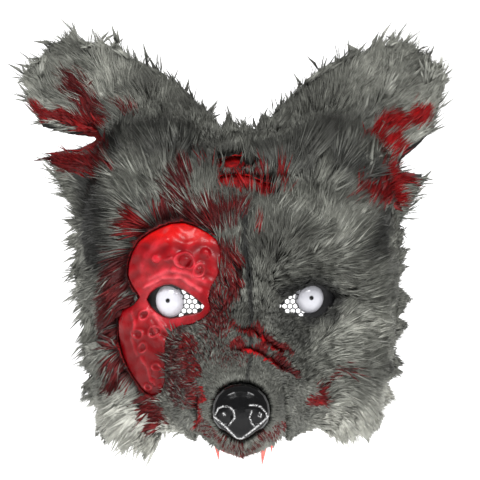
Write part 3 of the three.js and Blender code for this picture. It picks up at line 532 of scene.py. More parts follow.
def make_wound_material():
    """Moulded vinyl painted wet red, darker in blotches, and glossy."""
    material, tree, shader = new_material("glossy_red_moulding")
    blotches = noise(tree, 120, 4)
    grain = noise(tree, 900, 3)
    shade = mixed(tree, ranged(tree, blotches, 0.45, 0.66, 0, 0.6), tint_of(tree), (0.36, 0.006, 0.025))
    shade = mixed(tree, ranged(tree, grain, 0.55, 0.75, 0, 0.3), shade, (0.42, 0.01, 0.02))
    surfaced(tree, shader, shade, blotches, 0.24, 0.42)
    set_gloss(tree, shader, 0.14, 0.06, 0.12)
    bumped(tree, shader, noise(tree, 420, 4), 0.2, 0.0006)
    return material


def make_shell_material():
    """Near-black plastic. Its outer side is painted red at the lip, the slashes and the wound."""
    material, tree, shader = new_material("formed_plastic")
    grain = noise(tree, 700, 4)
    streaks = ranged(tree, noise(tree, 240, 3), 0.35, 0.65, 0, 1)
    place = tree.nodes.new("ShaderNodeSeparateXYZ")
    tree.links.new(object_place(tree), place.inputs[0])
    lip = ranged(tree, place.outputs["Z"], *LIP_PAINT, 1, 0)
    bridge = painted_round(tree, *BRIDGE_PAINT)
    by_slashes = greater(tree, greater(tree, lip, painted_round(tree, *BROW_PAINT)), bridge)
    red = mixed(tree, streaks, (0.56, 0.03, 0.04), (0.3, 0.02, 0.03))
    red = mixed(tree, bridge, red, (0.62, 0.06, 0.08))
    bare = mixed(tree, grain, (0.05, 0.05, 0.052), (0.1, 0.1, 0.1))
    painted = mixed(tree, painted_round(tree, *WOUND_PAINT), bare, (0.4, 0.03, 0.04))
    painted = mixed(tree, by_slashes, painted, red)
    surfaced(tree, shader, mixed(tree, tint_of(tree), bare, painted), grain, 0.42, 0.65)
    set_gloss(tree, shader, 0.2)
    bumped(tree, shader, grain, 0.25, 0.0003)
    return material


def make_eyeball_material(side, pupil):
    """White vinyl with a grey ring round the black pupil hole."""
    material, tree, shader = new_material("eyeball_white_" + side)
    ring = tree.nodes.new("ShaderNodeValToRGB")
    ramp_stops = ring.color_ramp.elements
    ramp_stops[0].position = EYEBALL_SHADES[0][0]
    ramp_stops[1].position = EYEBALL_SHADES[-1][0]
    for position, _ in EYEBALL_SHADES[1:-1]:
        ramp_stops.new(position)
    for stop, (_, grey) in zip(ramp_stops, EYEBALL_SHADES):
        stop.color = (*linear((grey, grey, grey * 1.035)), 1)
    away = distance_from(tree, pupil)
    tree.links.new(ranged(tree, away, 0, EYEBALL_SHADES_REACH, 0, 1), ring.inputs["Fac"])
    soft = noise(tree, 300, 2)
    cloudy = ranged(tree, soft, 0.45, 0.75, 0, 0.12)
    shade = mixed(tree, cloudy, ring.outputs["Color"], (0.52, 0.52, 0.56))
    surfaced(tree, shader, shade, soft, 0.1, 0.2)
    set_gloss(tree, shader, coat=0.5, coat_roughness=0.06)
    bumped(tree, shader, soft, 0.08, 0.0003)
    return material


def make_net_material():
    """Black coated net thread."""
    material, tree, shader = new_material("black_net")
    fibre = noise(tree, 1500, 3)
    shade = mixed(tree, fibre, (0.03, 0.03, 0.035), (0.12, 0.12, 0.13))
    surfaced(tree, shader, shade, fibre, 0.5, 0.75)
    bumped(tree, shader, fibre, 0.4, 0.0002)
    return material


def make_nose_material():
    """Black gloss plastic, with white lines where its tint says so."""
    material, tree, shader = new_material("black_gloss_nose")
    fine = noise(tree, 1400, 4)
    grain = noise(tree, 500, 3)
    white_lines = mixed(tree, ranged(tree, fine, 0.4, 0.56, 0, 1), (0.03, 0.03, 0.032), tint_of(tree))
    black = mixed(tree, grain, (0.012, 0.012, 0.014), (0.035, 0.035, 0.04))
    shade = mixed(tree, 1.0, black, white_lines, "LIGHTEN")
    surfaced(tree, shader, shade, grain, 0.11, 0.19, 0.35, 0.65)
    set_gloss(tree, shader, 0.15, 0.05, 0.08)
    bumped(tree, shader, grain, 0.12, 0.0004)
    return material


def make_fang_material():
    """Translucent coral vinyl."""
    material, tree, shader = new_material("coral_fang")
    clouds = noise(tree, 260, 3)
    shade = mixed(tree, clouds, (0.86, 0.3, 0.28), (0.95, 0.5, 0.44))
    surfaced(tree, shader, shade, clouds, 0.2, 0.32)
    depth = {"Subsurface Radius": (0.004, 0.0012, 0.001), "Subsurface Scale": 0.8}
    set_inputs(tree, shader, {"Subsurface Weight": 0.5, "Coat Weight": 0.3, **depth})
    bumped(tree, shader, clouds, 0.15, 0.0003)
    return material


def make_lining_material():
    """Dark felt, stained red where its tint says so."""
    material, tree, shader = new_material("ear_felt")
    fibre = noise(tree, 1300, 5)
    shade = mixed(tree, ranged(tree, fibre, 0.35, 0.7, 0.5, 0), tint_of(tree), (0.03, 0.03, 0.03))
    surfaced(tree, shader, shade, fibre, 0.8, 0.95)
    set_inputs(tree, shader, {"Sheen Weight": 0.2})
    bumped(tree, shader, fibre, 0.6, 0.0004)
    return material


# Fur colours


def patchy(points):
    """Broad, uneven lighter and darker places in the pile, from -0.1 to 0.1."""
    across, up = seen_from_front(points).T
    return 0.05 * wave(across, up, 0.11, 2.1, 0.07) + 0.05 * wave(up, across, 0.19, 1.7, 0.13, 1)


def fur_shade(points, lightness):
    """The colour of the pile at points, with painted shade at the crown, before blood. lightness runs
    from 0 to 1.
    """
    places = seen_from_front(points)
    # Painted shade: the pile is darker at the crown, between the ears.
    crown = ramp(places[:, 1], 60, 90) * ramp(np.abs(places[:, 0]), 80, 60)
    central = np.exp(-np.sum((places / (62, 75)) ** 2, axis=1) ** 2)
    share = lightness + 0.58 * strongest(places, PALE_STROKES) - 0.24 * crown - 0.25 * central
    shades = toward(GREY_DARK, GREY_MID, ramp(share, 0, 0.5))
    shades = toward(shades, GREY_PALE, ramp(share, 0.5, 1))
    # Painted shade along the dark strokes, with dark tone round the right eye.
    return toward(shades, SHADE_AND_DARK_GREY, 0.85 * strongest(places, SHADE_AND_DARK_STROKES))


def ragged(places):
    """Places moved about a little, so that what is painted by strokes gets an uneven edge."""
    across, up = places.T
    moves = [wave(up, across, 0.42, 1.7, 0.25), wave(across, up, 0.38, 1.3, 0.29)]
    return places + 1.9 * np.stack(moves, axis=1)


def blood_share(points):
    """How likely fur at points is bloody, and how bright that blood is."""
    places = ragged(seen_from_front(points))
    shares = np.array([stroke_share(places, stroke) for stroke in BLOOD_STROKES])
    bright = np.array([stroke[6] for stroke in BLOOD_STROKES])
    return np.max(shares, axis=0), bright[np.argmax(shares, axis=0)]


def blood_colour(bright):
    return toward(BLOOD_DARK, BLOOD_BRIGHT, bright)


# Fur strands


def tree_of(node_names):
    """One search tree over several CAD nodes, and which node each of its faces belongs to."""
    points = []
    faces = []
    owners = []
    for name in node_names:
        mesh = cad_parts[name].data
        first = len(points)
        points.extend(v.co.copy() for v in mesh.vertices)
        for polygon in mesh.polygons:
            faces.append([first + i for i in polygon.vertices])
            owners.append(name)
    return BVHTree.FromPolygons(points, faces), owners


all_tree, all_owners = tree_of(sorted(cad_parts))
shell_tree, _ = tree_of(["face_shell"])
CAMERA_POINT = Vector((CAMERA_ACROSS, -CAMERA_BACK, CAMERA_UP))
FUR_NODES = {"fur_left", "fur_right", "fur_muzzle", "ear_left", "ear_right"}


def in_slash(point):
    """True at the slashes in the brow and the bridge, and round the eyes."""
    place = seen_from_front(np.array([point]))
    return any(within(place, area)[0] for area in (BROW_OPENING, BRIDGE_OPENING, *EYE_AREAS))


def overhangs(point):
    """True where a point in front of the face hides something that fur leaves clear."""
    way = point - CAMERA_POINT
    hit, _, index, _ = all_tree.ray_cast(CAMERA_POINT, way.normalized())
    if index is None:
        before_eyes = abs(point.x) < 0.075 and abs(point.z) < 0.03
        return before_eyes or any((point - middle).length < radius for middle, radius in BITES)
    if all_owners[index] in FUR_NODES:
        return False
    if all_owners[index] == "face_shell" and not in_slash(point):
        return False
    return (hit - CAMERA_POINT).length > way.length - 0.001


def roots_on(node_name, count, keep, rng):
    """Root points and their normals, spread evenly over the faces of a CAD node that keep allows."""
    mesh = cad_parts[node_name].data
    mesh.calc_loop_triangles()
    corners = np.empty(len(mesh.loop_triangles) * 3, dtype=np.int32)
    mesh.loop_triangles.foreach_get("vertices", corners)
    triangles = points_of(mesh)[corners.reshape(-1, 3)]
    crossed = np.cross(triangles[:, 1] - triangles[:, 0], triangles[:, 2] - triangles[:, 0])
    areas = np.linalg.norm(crossed, axis=1) / 2
    normals = unit(crossed)
    centres = triangles.mean(axis=1)
    chances = areas * keep(centres, normals)
    picked = rng.choice(len(areas), size=count, p=chances / chances.sum())
    first = np.sqrt(rng.random(count))
    second = rng.random(count)
    shares = np.stack([1 - first, first * (1 - second), first * second], axis=1)
    points = np.einsum("ij,ijk->ik", shares, triangles[picked])
    return points, normals[picked]


def off_the_shell(points):
    """How far points stand from the plastic shell, and the way from it to each."""
    away = np.empty(len(points))
    ways = np.empty((len(points), 3))
    for i, point in enumerate(points):
        near, _, _, distance = shell_tree.find_nearest(Vector(point))
        away[i] = distance
        ways[i] = Vector(point) - near
    return away, unit(ways)


def keep_on_face(centres, normals):
    """Fur grows on the outer side of a face panel, thinly behind, and not where it meets the shell."""
    away, ways = off_the_shell(centres)
    outward = np.sum(normals * ways, axis=1)
    seam = (np.abs(normals[:, 0]) > 0.9) & (np.abs(centres[:, 0]) < 0.001)
    chance = np.where((away > 0.0016) & (outward > -0.25), 1.0, 0.0)
    chance *= np.where(normals[:, 1] > 0.2, 0.45, 1)
    return np.where(seam, 0, chance)


def keep_on_muzzle(centres, normals):
    away, ways = off_the_shell(centres)
    outward = np.sum(normals * ways, axis=1)
    return np.where((away > 0.001) & (outward > 0.3), 1.0, 0.0)


def keep_on_ear(centres, normals):
    """Ears are furred all over, more thinly behind, and bare beside the bite in the left one."""
    bare = stroke_share(seen_from_front(centres), BARE_PATCH) * (centres[:, 0] < 0)
    return np.where(normals[:, 1] > 0.3, 0.6, 1.0) * (1 - bare)


def face_flow(points):
    """The way the pile lies: away from the nose, and sagging at the cheeks, most of all on the left."""
    away = unit(points - NOSE_TIP)
    low = ramp(points[:, 2], -0.045, -0.085) * ramp(np.abs(points[:, 0]), 0.035, 0.065)
    left = ramp(points[:, 0], -0.045, -0.075) * ramp(points[:, 2], 0.07, 0.04)
    away[:, 2] -= 0.6 * low + 0.85 * left * (1 - low)
    return unit(away)


def ear_flow(side):
    """The way the pile lies on an ear: along it, and fanned out at its edges."""
    lean = math.radians(EAR_LEAN[side])
    sign = -1 if side == "left" else 1
    along = np.array([sign * math.cos(lean), 0, math.sin(lean)])
    upper = np.array([-sign * math.sin(lean), 0, math.cos(lean)])
    root = np.array([sign * EAR_ROOT_ACROSS, EAR_ROOT_BACK, EAR_ROOT_UP])

    def flow(points):
        from_root = points - root
        share = ramp(from_root @ along, 0, EAR_LENGTH)
        across = from_root @ upper / EAR_HALF_WIDTH
        fan = np.where(across > 0, across * (0.65 - 0.4 * share), across * 0.35)
        return unit(along + upper * fan[:, None])

    return flow


def trimmed(points, length):
    """Pile made shorter or longer where a stroke says so."""
    places = seen_from_front(points)
    return length * (1 - strongest(places, SHORT_STROKES)) * (1 + strongest(places, LONG_STROKES))


def face_length(points):
    """Short pile round the eyes and the bridge, growing to long at the crown and the cheeks."""
    places = seen_from_front(points)
    across = np.abs(places[:, 0])
    up = places[:, 1]
    reach = np.linalg.norm(places - (0, -28), axis=1)
    from_eye = np.linalg.norm(places - (46, 0), axis=1)
    low = ramp(up, -45, -70)
    length = FACE_PILE + FACE_PILE_GAIN * ramp(reach, 22, 84)
    length *= 1 + 0.2 * low * ramp(np.abs(places[:, 0] + 64), 24, 0)
    length *= 1 - 0.5 * low * ramp(across, 58, 38)
    length *= 1 - 0.2 * low * (places[:, 0] > 0)
    length *= 1 - 0.45 * ramp(from_eye, 39, 13)
    length *= 1 - 0.42 * ramp(across, 76, 88) * ramp(up, 62, 42)
    return length * (1 - 0.4 * ramp(up, 92, 102))


def strand_mesh(name, root, middle, tip, facing, width, shades):
    """Builds thin closed blades, each bent at its widest place between a root point and a tip."""
    along = unit(tip - root)
    side = np.cross(along, unit(facing - np.sum(facing * along, axis=1, keepdims=True) * along))
    count = len(root)
    points = np.empty((count, 4, 3))
    points[:, 0] = root
    points[:, 1] = middle + side * (width * 0.5)[:, None]
    points[:, 2] = middle - side * (width * 0.5)[:, None] + facing * (width * 0.4)[:, None]
    points[:, 3] = tip
    blade = [(0, 1, 2), (3, 2, 1), (0, 3, 1), (0, 2, 3)]
    corners = (np.array(blade)[None] + (np.arange(count) * 4)[:, None, None]).reshape(-1)
    mesh = bpy.data.meshes.new(name)
    mesh.vertices.add(count * 4)
    mesh.vertices.foreach_set("co", points.ravel())
    mesh.loops.add(len(corners))
    mesh.loops.foreach_set("vertex_index", corners.astype(np.int32))
    mesh.polygons.add(len(corners) // 3)
    mesh.polygons.foreach_set("loop_start", np.arange(0, len(corners), 3, dtype=np.int32))
    mesh.polygons.foreach_set("use_smooth", np.ones(len(corners) // 3, dtype=bool))
    mesh.update(calc_edges=True)
    set_tint(mesh, (shades[:, None] * STRAND_SHADING[:, None]).reshape(-1, 3))
    return placed(name, mesh)


def gathered(points, reach, tip, rng, members, pull):
    """Draws the tips of near strands together. Returns the new tips and each strand's leader."""
    count = len(points)
    leaders = rng.choice(count, size=max(count // members, 1), replace=False)
    near = KDTree(len(leaders))
    for place, leader in enumerate(leaders):
        near.insert(points[leader], place)
    near.balance()
    mates = leaders[[near.find(p)[1] for p in points]]
    meeting = points[mates] + reach[mates]
    drawn = np.clip(rng.normal(pull, 0.18, count), 0, 0.92)
    drawn[rng.random(count) < 0.08] = 0
    return tip + (meeting - tip) * drawn[:, None], mates


def past_the_outline(point):
    """True where nothing of the mask lies behind or before a point, seen from the front."""
    return all_tree.ray_cast(CAMERA_POINT, (point - CAMERA_POINT).normalized())[2] is None


def outside_share(root, reach):
    """How much of a strand lies before it would pierce the plastic shell."""
    length = max(reach.length, 1e-6)
    distance = shell_tree.ray_cast(root, reach.normalized(), length)[3]
    return 1 if distance is None else max(0, distance - SHELL_CLEARANCE) / length


def cleared(points, middle, tip, rng):
    """How much of each strand is left once it is cut back from openings and from the outline."""
    left = np.ones(len(points))
    places = seen_from_front(points)
    close = within(places, BROW_AREA) | within(places, WOUND_AREA)
    trim = np.where(close, SLASH_TRIM, STRAND_TRIM)
    stray_share = STRAY_SHARE + BRIDGE_STRAY_SHARE * within(places, BRIDGE_AREA)
    stray = rng.random(len(points)) < stray_share
    allowed = rng.exponential(RIM_REACH, len(points))
    for i in range(len(points)):
        root = Vector(points[i])
        reaches = [Vector(end) - root for end in (middle[i], (middle[i] + tip[i]) / 2, tip[i])]
        left[i] = min(outside_share(root, reaches[0]), outside_share(root, reaches[2]))
        if stray[i]:
            continue
        for _ in range(MOST_CUTS):
            kept = [max(0, left[i] - trim[i] / max(r.length, trim[i])) for r in reaches]
            inside = max(0, left[i] - allowed[i] / max(reaches[2].length, 1e-6))
            too_long = past_the_outline(root + reaches[2] * inside)
            if not too_long and not any(overhangs(root + r * k) for r, k in zip(reaches, kept)):
                break
            left[i] *= CUT_SHARE
    return left


def swirled(heading, normals, points):
    """Turns headings by a slowly changing angle, so that the pile lies in uneven tufts."""
    across, up = seen_from_front(points).T
    turn = 0.3 * wave(across, up, 0.16, 1.6, 0.12) + 0.22 * wave(up, across, 0.31, 1.9, 0.23, 2)
    turned = np.cross(normals, heading)
    return heading * np.cos(turn)[:, None] + turned * np.sin(turn)[:, None]


def headings(points, normals, flow, rng):
    """The way each strand lies on the hide: along the flow, and tousled at the parting."""
    count = len(points)
    heading = flow(points) + rng.normal(0, 0.16, (count, 3))
    by_parting = np.exp(-((points[:, 0] / 0.006) ** 2)) * (points[:, 2] > 0.045)
    heading[:, 0] += rng.normal(0, 0.3, count) * by_parting
    heading = unit(heading - np.sum(heading * normals, axis=1, keepdims=True) * normals)
    return swirled(heading, normals, points)


def strand_shades(points, middle, tip, normals, lock_light, contrast, rng):
    """The colour of each strand: grey by its lock and its place, or blood."""
    count = len(points)
    lightness = np.clip(0.5 + lock_light + rng.normal(0, 0.065 * contrast, count), 0, 1)
    shades = fur_shade(middle, lightness + patchy(points))
    bloody, bright = blood_share(points * 0.35 + middle * 0.4 + tip * 0.25)
    wet = (rng.random(count) < bloody * 1.15) & (normals[:, 1] < BLOOD_STOPS)
    red = blood_colour(np.clip(bright + lock_light + rng.normal(0, 0.12, count), 0, 1))
    return np.where(wet[:, None], red, shades)


def grow(name, slot, points, normals, flow, length, lift, rng, locks=FACE_LOCKS, contrast=1):
    """Grows a strand from each point: it lifts off the hide, lies down and gathers into locks."""
    count = len(points)
    heading = headings(points, normals, flow, rng)
    lifts = np.clip(rng.normal(lift, 0.14, count), 0.05, 1.2)[:, None]
    start = heading * np.cos(lifts) + normals * np.sin(lifts)
    sag = np.array([0, 0, -0.12])
    end = unit(heading * np.cos(lifts * 0.35) + normals * np.sin(lifts * 0.35) + sag)
    lengths = length * rng.uniform(0.6, 1.15, count)
    middle = points + start * (lengths * STRAND_BEND)[:, None]
    tip = middle + end * (lengths * (1 - STRAND_BEND))[:, None]
    reach = (start * STRAND_BEND + end * (1 - STRAND_BEND)) * length[:, None]
    lock_light = np.zeros(count)
    for members, pull in locks:
        drawn_tip, mates = gathered(points, reach, tip, rng, members, pull)
        middle += (drawn_tip - tip) * 0.3
        tip = drawn_tip
        lock_light += rng.normal(0, 0.05 * contrast, count)[mates]
    left = cleared(points, middle, tip, rng)
    room = np.maximum(BACK_REACH - points[:, 1], 0.002) + rng.uniform(0, 0.005, count)
    backward = np.maximum(np.maximum(middle[:, 1], tip[:, 1]) - points[:, 1], 1e-6)
    left = np.minimum(left, room / backward)
    long_enough = left > SHORTEST_SHARE
    left = left[long_enough, None]
    lock_light = lock_light[long_enough]
    points, normals, middle, tip = (rows[long_enough] for rows in (points, normals, middle, tip))
    middle = points + (middle - points) * left
    tip = points + (tip - points) * left
    shades = strand_shades(points, middle, tip, normals, lock_light, contrast, rng)
    width = STRAND_WIDTH * rng.uniform(0.7, 1.15, len(points))
    piece = strand_mesh(name, points - normals * STRAND_SUNK, middle, tip, normals, width, shades)
    finish_piece(piece, fur_material, slot)


def fur_panel(side):
    """The long pile of one side of the face, in an upper and a lower piece."""
    rng = np.random.default_rng(11 if side == "left" else 12)
    points, normals = roots_on("fur_" + side, FACE_STRANDS, keep_on_face, rng)
    length = trimmed(points, face_length(points))
    # Pile near the point of a moulded lock is short, so that the lock keeps its reach.
    away, _ = off_the_shell(points)
    length *= 1 - 0.7 * ramp(away, 0.014, 0.036)
    length *= np.where(within(seen_from_front(points), BROW_STRIP), STRIP_PILE_SHARE, 1)
    upper = points[:, 2] > 0.01
    for part, chosen in (("brow", upper), ("cheek", ~upper)):
        name = f"pile_{side}_{part}"
        grow(name, "fur", points[chosen], normals[chosen], face_flow, length[chosen], FACE_LIFT, rng)


def undercoat(node_name, name, slot, keep_share):
    """The dense wool of a panel: its CAD solid without facets, drawn in so that the pile hides it."""
    piece = refined_copy(node_name, name, UNDERCOAT_VOXEL, 4, keep_share)
    mesh = piece.data
    points = points_of(mesh)
    _, ways = off_the_shell(points)
    facing = np.clip(np.sum(normals_of(mesh) * ways, axis=1, keepdims=True), 0, 1)
    points -= ways * facing * UNDERCOAT_SUNK
    by_parting = (np.abs(points[:, 0]) < 0.0022) & (slot == "fur")
    points[by_parting, 0] *= 0.1
    move_points(mesh, points)
    places = seen_from_front(points)
    bloody, bright = blood_share(points)
    bloody *= normals_of(mesh)[:, 1] < BLOOD_STOPS
    shades = fur_shade(points, np.full(len(points), 0.3)) * 0.62
    shades = toward(shades, blood_colour(bright) * 0.7, np.clip(bloody, 0, 1))
    wall = facing[:, 0] < 0.6
    edges = ((BROW_SLITS, SLASH_RED), (WOUND_AREA, WOUND_EDGE_RED), (BRIDGE_SLITS, BLOOD_BRIGHT))
    for area, red in edges:
        shades[wall & within(places, area)] = red
    bare = stroke_share(places, BARE_PATCH) * (points[:, 0] < 0) * (points[:, 1] > 0)
    shades = toward(shades, np.array(SHADE_AND_DARK_GREY) * 0.9, bare)
    set_tint(mesh, shades)
    finish_piece(piece, undercoat_material, slot, node_name)
    return piece


# Blisters of the wound, in millimetres seen from the front: across, up, radius, height. Pits sink.
WOUND_RINGS = [
    (-37, 26, 5.6, 0.75),
    (-27.5, 19.7, 3.7, 0.6),
    (-55.8, -44.2, 2.6, 0.55),
    (-61.5, -57.5, 1.9, 0.4),
    (-64.2, -9.8, 3, -0.7),
    (-68.4, -22.4, 3.2, -0.6),
    (-57.4, -20.7, 3.6, -0.75),
    (-65, -31.7, 2.8, -0.6),
]
WOUND_DOMES = [
    (-37, 26, 3.4, 0.95),
    (-56.1, 27, 3, 0.8),
    (-27.5, 19.7, 1.8, 0.5),
    (-44.5, 20, 2.2, 0.5),
    (-47.5, 26.5, 2, 0.45),
    (-58.7, -53.5, 2, 0.8),
    (-53.5, -57.4, 1.9, 0.8),
    (-57.4, -20.7, 2.3, 0.5),
]
# Folds of the wound, each through four points, with its width and height.
WOUND_FOLDS = [
    ((-63.5, 8.5), (-52, 14.5), (-40, 15), (-27, 6.5), 1.3, 0.9),
    ((-60, 14), (-48, 19.5), (-36, 18), (-24, 12), 1.6, 0.55),
    ((-50, 26.4), (-46, 27.6), (-43, 26.5), (-42, 25), 0.9, 0.5),
    ((-57, -9.5), (-54, -14.5), (-50, -19), (-46, -21), 1.4, 0.8),
    ((-60, -14), (-56, -22), (-51, -27), (-49, -34), 1.2, 0.5),
    ((-72, -8), (-70, -16), (-72, -26), (-69, -36), 1.1, 0.5),
    ((-66, -38), (-62, -45), (-60, -52), (-57, -56), 1.1, 0.5),
    ((-66, 20), (-62, 30), (-55, 38), (-46, 43), 2.2, 0.35),
]


def fold_height(places, fold):
    """The height of a raised fold that runs through four points."""
    width, tall = fold[4:]
    away = [away_from_line(places, start, end) for start, end in zip(fold[:3], fold[1:4])]
    return np.exp(-((np.min(away, axis=0) / width) ** 2)) * tall


def ring_place(places, across, up):
    """How far places lie from the middle of a blister whose ring is oval, and in what way."""
    from_middle = places - (across, up)
    turn = np.arctan2(from_middle[:, 1], from_middle[:, 0])
    stretch = 1 - 0.14 * np.cos(2 * turn + across) + 0.07 * np.sin(3 * turn + up)
    return np.linalg.norm(from_middle, axis=1) * stretch, turn


def wound_relief(places):
    """Raised rings, domes and folds, and sunk pits, as one height in millimetres."""
    height = np.zeros(len(places))
    for across, up, radius, tall in WOUND_RINGS:
        away, _ = ring_place(places, across, up)
        height += abs(tall) * np.exp(-(((away - radius) / 0.75) ** 2))
        if tall < 0:
            height += tall * np.exp(-((away / radius) ** 4))
    for across, up, radius, tall in WOUND_DOMES:
        away = np.linalg.norm(places - (across, up), axis=1)
        height += tall * np.sqrt(np.clip(1 - (away / radius) ** 2, 0, 1))
    for fold in WOUND_FOLDS:
        height += fold_height(places, fold)
    return height


def wound_lines(places):
    """How strongly places lie on the rings, in the hollows and on the folds of the wound."""
    rings = np.zeros(len(places))
    hollows = np.zeros(len(places))
    for across, up, radius, _ in WOUND_RINGS:
        away, turn = ring_place(places, across, up)
        uneven = 0.55 + 0.45 * np.sin(turn * 2 + across)
        rings = np.maximum(rings, np.exp(-(((away - radius) / 0.5) ** 2)) * uneven)
        hollows = np.maximum(hollows, np.exp(-((away / (radius * 0.75)) ** 4)))
    folds = np.max([fold_height(places, fold) for fold in WOUND_FOLDS], axis=0)
    return rings, hollows, folds


def wound_shades(places, height, normals):
    """Red by height, brighter at the top, darker below, and pink round the eye. Painted highlight where
    raised and pink on fine edges; painted shade in pits and hollows.
    """
    shades = toward(WOUND_PLAIN, WOUND_RAISED_HIGHLIGHT, ramp(height, 0, 0.9))
    shades = toward(shades, WOUND_SUNK_SHADE, ramp(height, 0, -0.9))
    from_eye = np.linalg.norm(places - (-46, 0.8), axis=1)
    rings, hollows, folds = wound_lines(places)
    shades = toward(shades, WOUND_TOP, 0.8 * ramp(places[:, 1], 35, 43))
    shades = toward(shades, WOUND_LID, 0.42 * np.exp(-(((from_eye - 15) / 6) ** 2)))
    shades = toward(shades, WOUND_LOW, 0.65 * ramp(places[:, 1], -14, -26))
    # Painted shade in the hollows, and pink painted highlight on the rings and folds.
    shades = toward(shades, WOUND_HOLLOW_SHADE, 0.65 * hollows)
    shades = toward(shades, WOUND_PINK_HIGHLIGHT, np.maximum(rings * 0.5, folds * 0.42))
    return toward(shades, WOUND_SIDE, np.clip((0.35 + normals[:, 1]) * 3, 0, 1))


def make_wound():
    """The wound's moulding: its CAD solid with blisters, folds and ripples on its front."""
    piece = refined_copy("wound_plate", "wound_moulding", 0.0007, 5)
    mesh = piece.data
    points = points_of(mesh)
    normals = normals_of(mesh)
    places = seen_from_front(points)
    across, up = places.T
    ripple = 0.22 * wave(across, up, 0.55, 1.4, 0.23) + 0.18 * wave(up, across, 0.7, 1.7, 0.31)
    height = (wound_relief(places) * 1.35 + ripple) * ramp(normals[:, 1], -0.3, -0.8)
    points += normals * (height * 0.001)[:, None]
    move_points(mesh, points)
    set_tint(mesh, wound_shades(places, height, normals))
    finish_piece(piece, make_wound_material(), "wound", "wound_plate")


def make_eyeball(side):
    """A flattened dome with its pole to the front, cut off flat behind and pushed in at the pupil."""
    sign = -1 if side == "left" else 1
    bpy.ops.mesh.primitive_uv_sphere_add(
        segments=48, ring_count=24, radius=EYEBALL_RADIUS, rotation=(math.pi / 2, 0, 0)
    )
    piece = bpy.context.object
    piece.name = "eyeball_dome_" + side
    bpy.ops.object.transform_apply()
    wider, taller = EYEBALL_GROWN[side]
    piece.scale = (wider, EYEBALL_BULGE / EYEBALL_RADIUS, taller)
    bpy.ops.object.transform_apply()
    cut = {"plane_co": (0, -EYEBALL_CUT, 0), "plane_no": (0, 1, 0)}
    edit_all(bpy.ops.mesh.bisect, use_fill=True, clear_outer=True, **cut)
    for polygon in piece.data.polygons:
        centre = polygon.center
        by_pole = math.hypot(centre.x, centre.z) < PUPIL_RADIUS
        polygon.select = by_pole and centre.y < -0.5 * EYEBALL_BULGE
    bpy.ops.object.mode_set(mode="EDIT")
    bpy.ops.mesh.inset(thickness=0.00015, depth=0)
    bpy.ops.mesh.extrude_region_move(TRANSFORM_OT_translate={"value": (0, PUPIL_DEPTH, 0)})
    bpy.ops.object.mode_set(mode="OBJECT")
    edit_all(bpy.ops.mesh.normals_make_consistent, inside=False)
    bpy.ops.object.shade_smooth_by_angle(angle=math.radians(50))
    piece.rotation_euler = (0, 0, sign * EYEBALL_TURN)
    moved = EYEBALL_MOVED[side]
    centre = Vector((sign * EYE_SPREAD + moved[0], EYEBALL_CENTRE_Y, EYE_HEIGHT + moved[1]))
    piece.location = centre
    bpy.ops.object.transform_apply()
    pupil_reach = EYEBALL_BULGE - PUPIL_DEPTH / 2
    front = Vector((sign * math.sin(EYEBALL_TURN), -math.cos(EYEBALL_TURN), 0)) * pupil_reach
    finish_piece(piece, make_eyeball_material(side, centre + front), "eyeball", "eyeball_" + side)


# The white lines on the nose, in millimetres seen from the front, with the width of each.
NOSE_LINES = [
    ([(-18, -77), (-10, -84), (-2.8, -91.5), (0.5, -91.5), (9, -85), (18.5, -76.5)], 0.7),
    ([(-17, -75.5), (-15, -71.5), (-12, -70.2), (-8, -70.5), (-5, -73), (-4.2, -78), (-8, -82.5)], 0.5),
    ([(5.5, -69.5), (9, -69.4), (13, -70.5), (16.5, -74.5), (17.3, -78)], 0.5),
    ([(7, -73.5), (5.6, -77.5), (7, -81.5), (9.5, -83.8)], 0.5),
    ([(-11.6, -75), (-11, -76)], 0.8),
    ([(12, -74.4), (13.4, -75.6), (12.8, -77.4), (11.4, -76.4)], 0.4),
]


def make_nose():
    """The nose: its CAD solid without facets, with white lines in its tint."""
    piece = refined_copy("nose", "nose_cap", 0.00048, 4)
    places = seen_from_front(points_of(piece.data))
    white_lines = np.zeros(len(places))
    for line, width in NOSE_LINES:
        for start, end in zip(line, line[1:]):
            away = away_from_line(places, start, end)
            white_lines = np.maximum(white_lines, np.exp(-((away / width) ** 2)))
    set_tint(piece.data, 0.02 + white_lines[:, None] * 0.8)
    finish_piece(piece, make_nose_material(), "nose", "nose")


def make_lining(side):
    """The felt of one ear, stained where the fur beside it is."""
    node_name = "ear_lining_" + side
    piece = refined_copy(node_name, "felt_" + side, 0.0008, 3, 0.5)
    points = points_of(piece.data)
    bloody, bright = blood_share(points)
    set_tint(piece.data, toward(FELT, blood_colour(bright), bloody))
    finish_piece(piece, lining_material, "ear_lining", node_name)


def make_shell():
    """The shell, with a tint that is white on its outer side, where it may be painted."""
    piece = copy_of("face_shell", "shell_formed")
    bpy.ops.object.shade_smooth_by_angle(angle=math.radians(40))
    mesh = piece.data
    outward = np.sum(normals_of(mesh) * unit(points_of(mesh) - HEAD_MIDDLE), axis=1)
    set_tint(mesh, np.where(outward > 0, 1.0, 0.0)[:, None])
    finish_piece(piece, make_shell_material(), "shell", "face_shell")


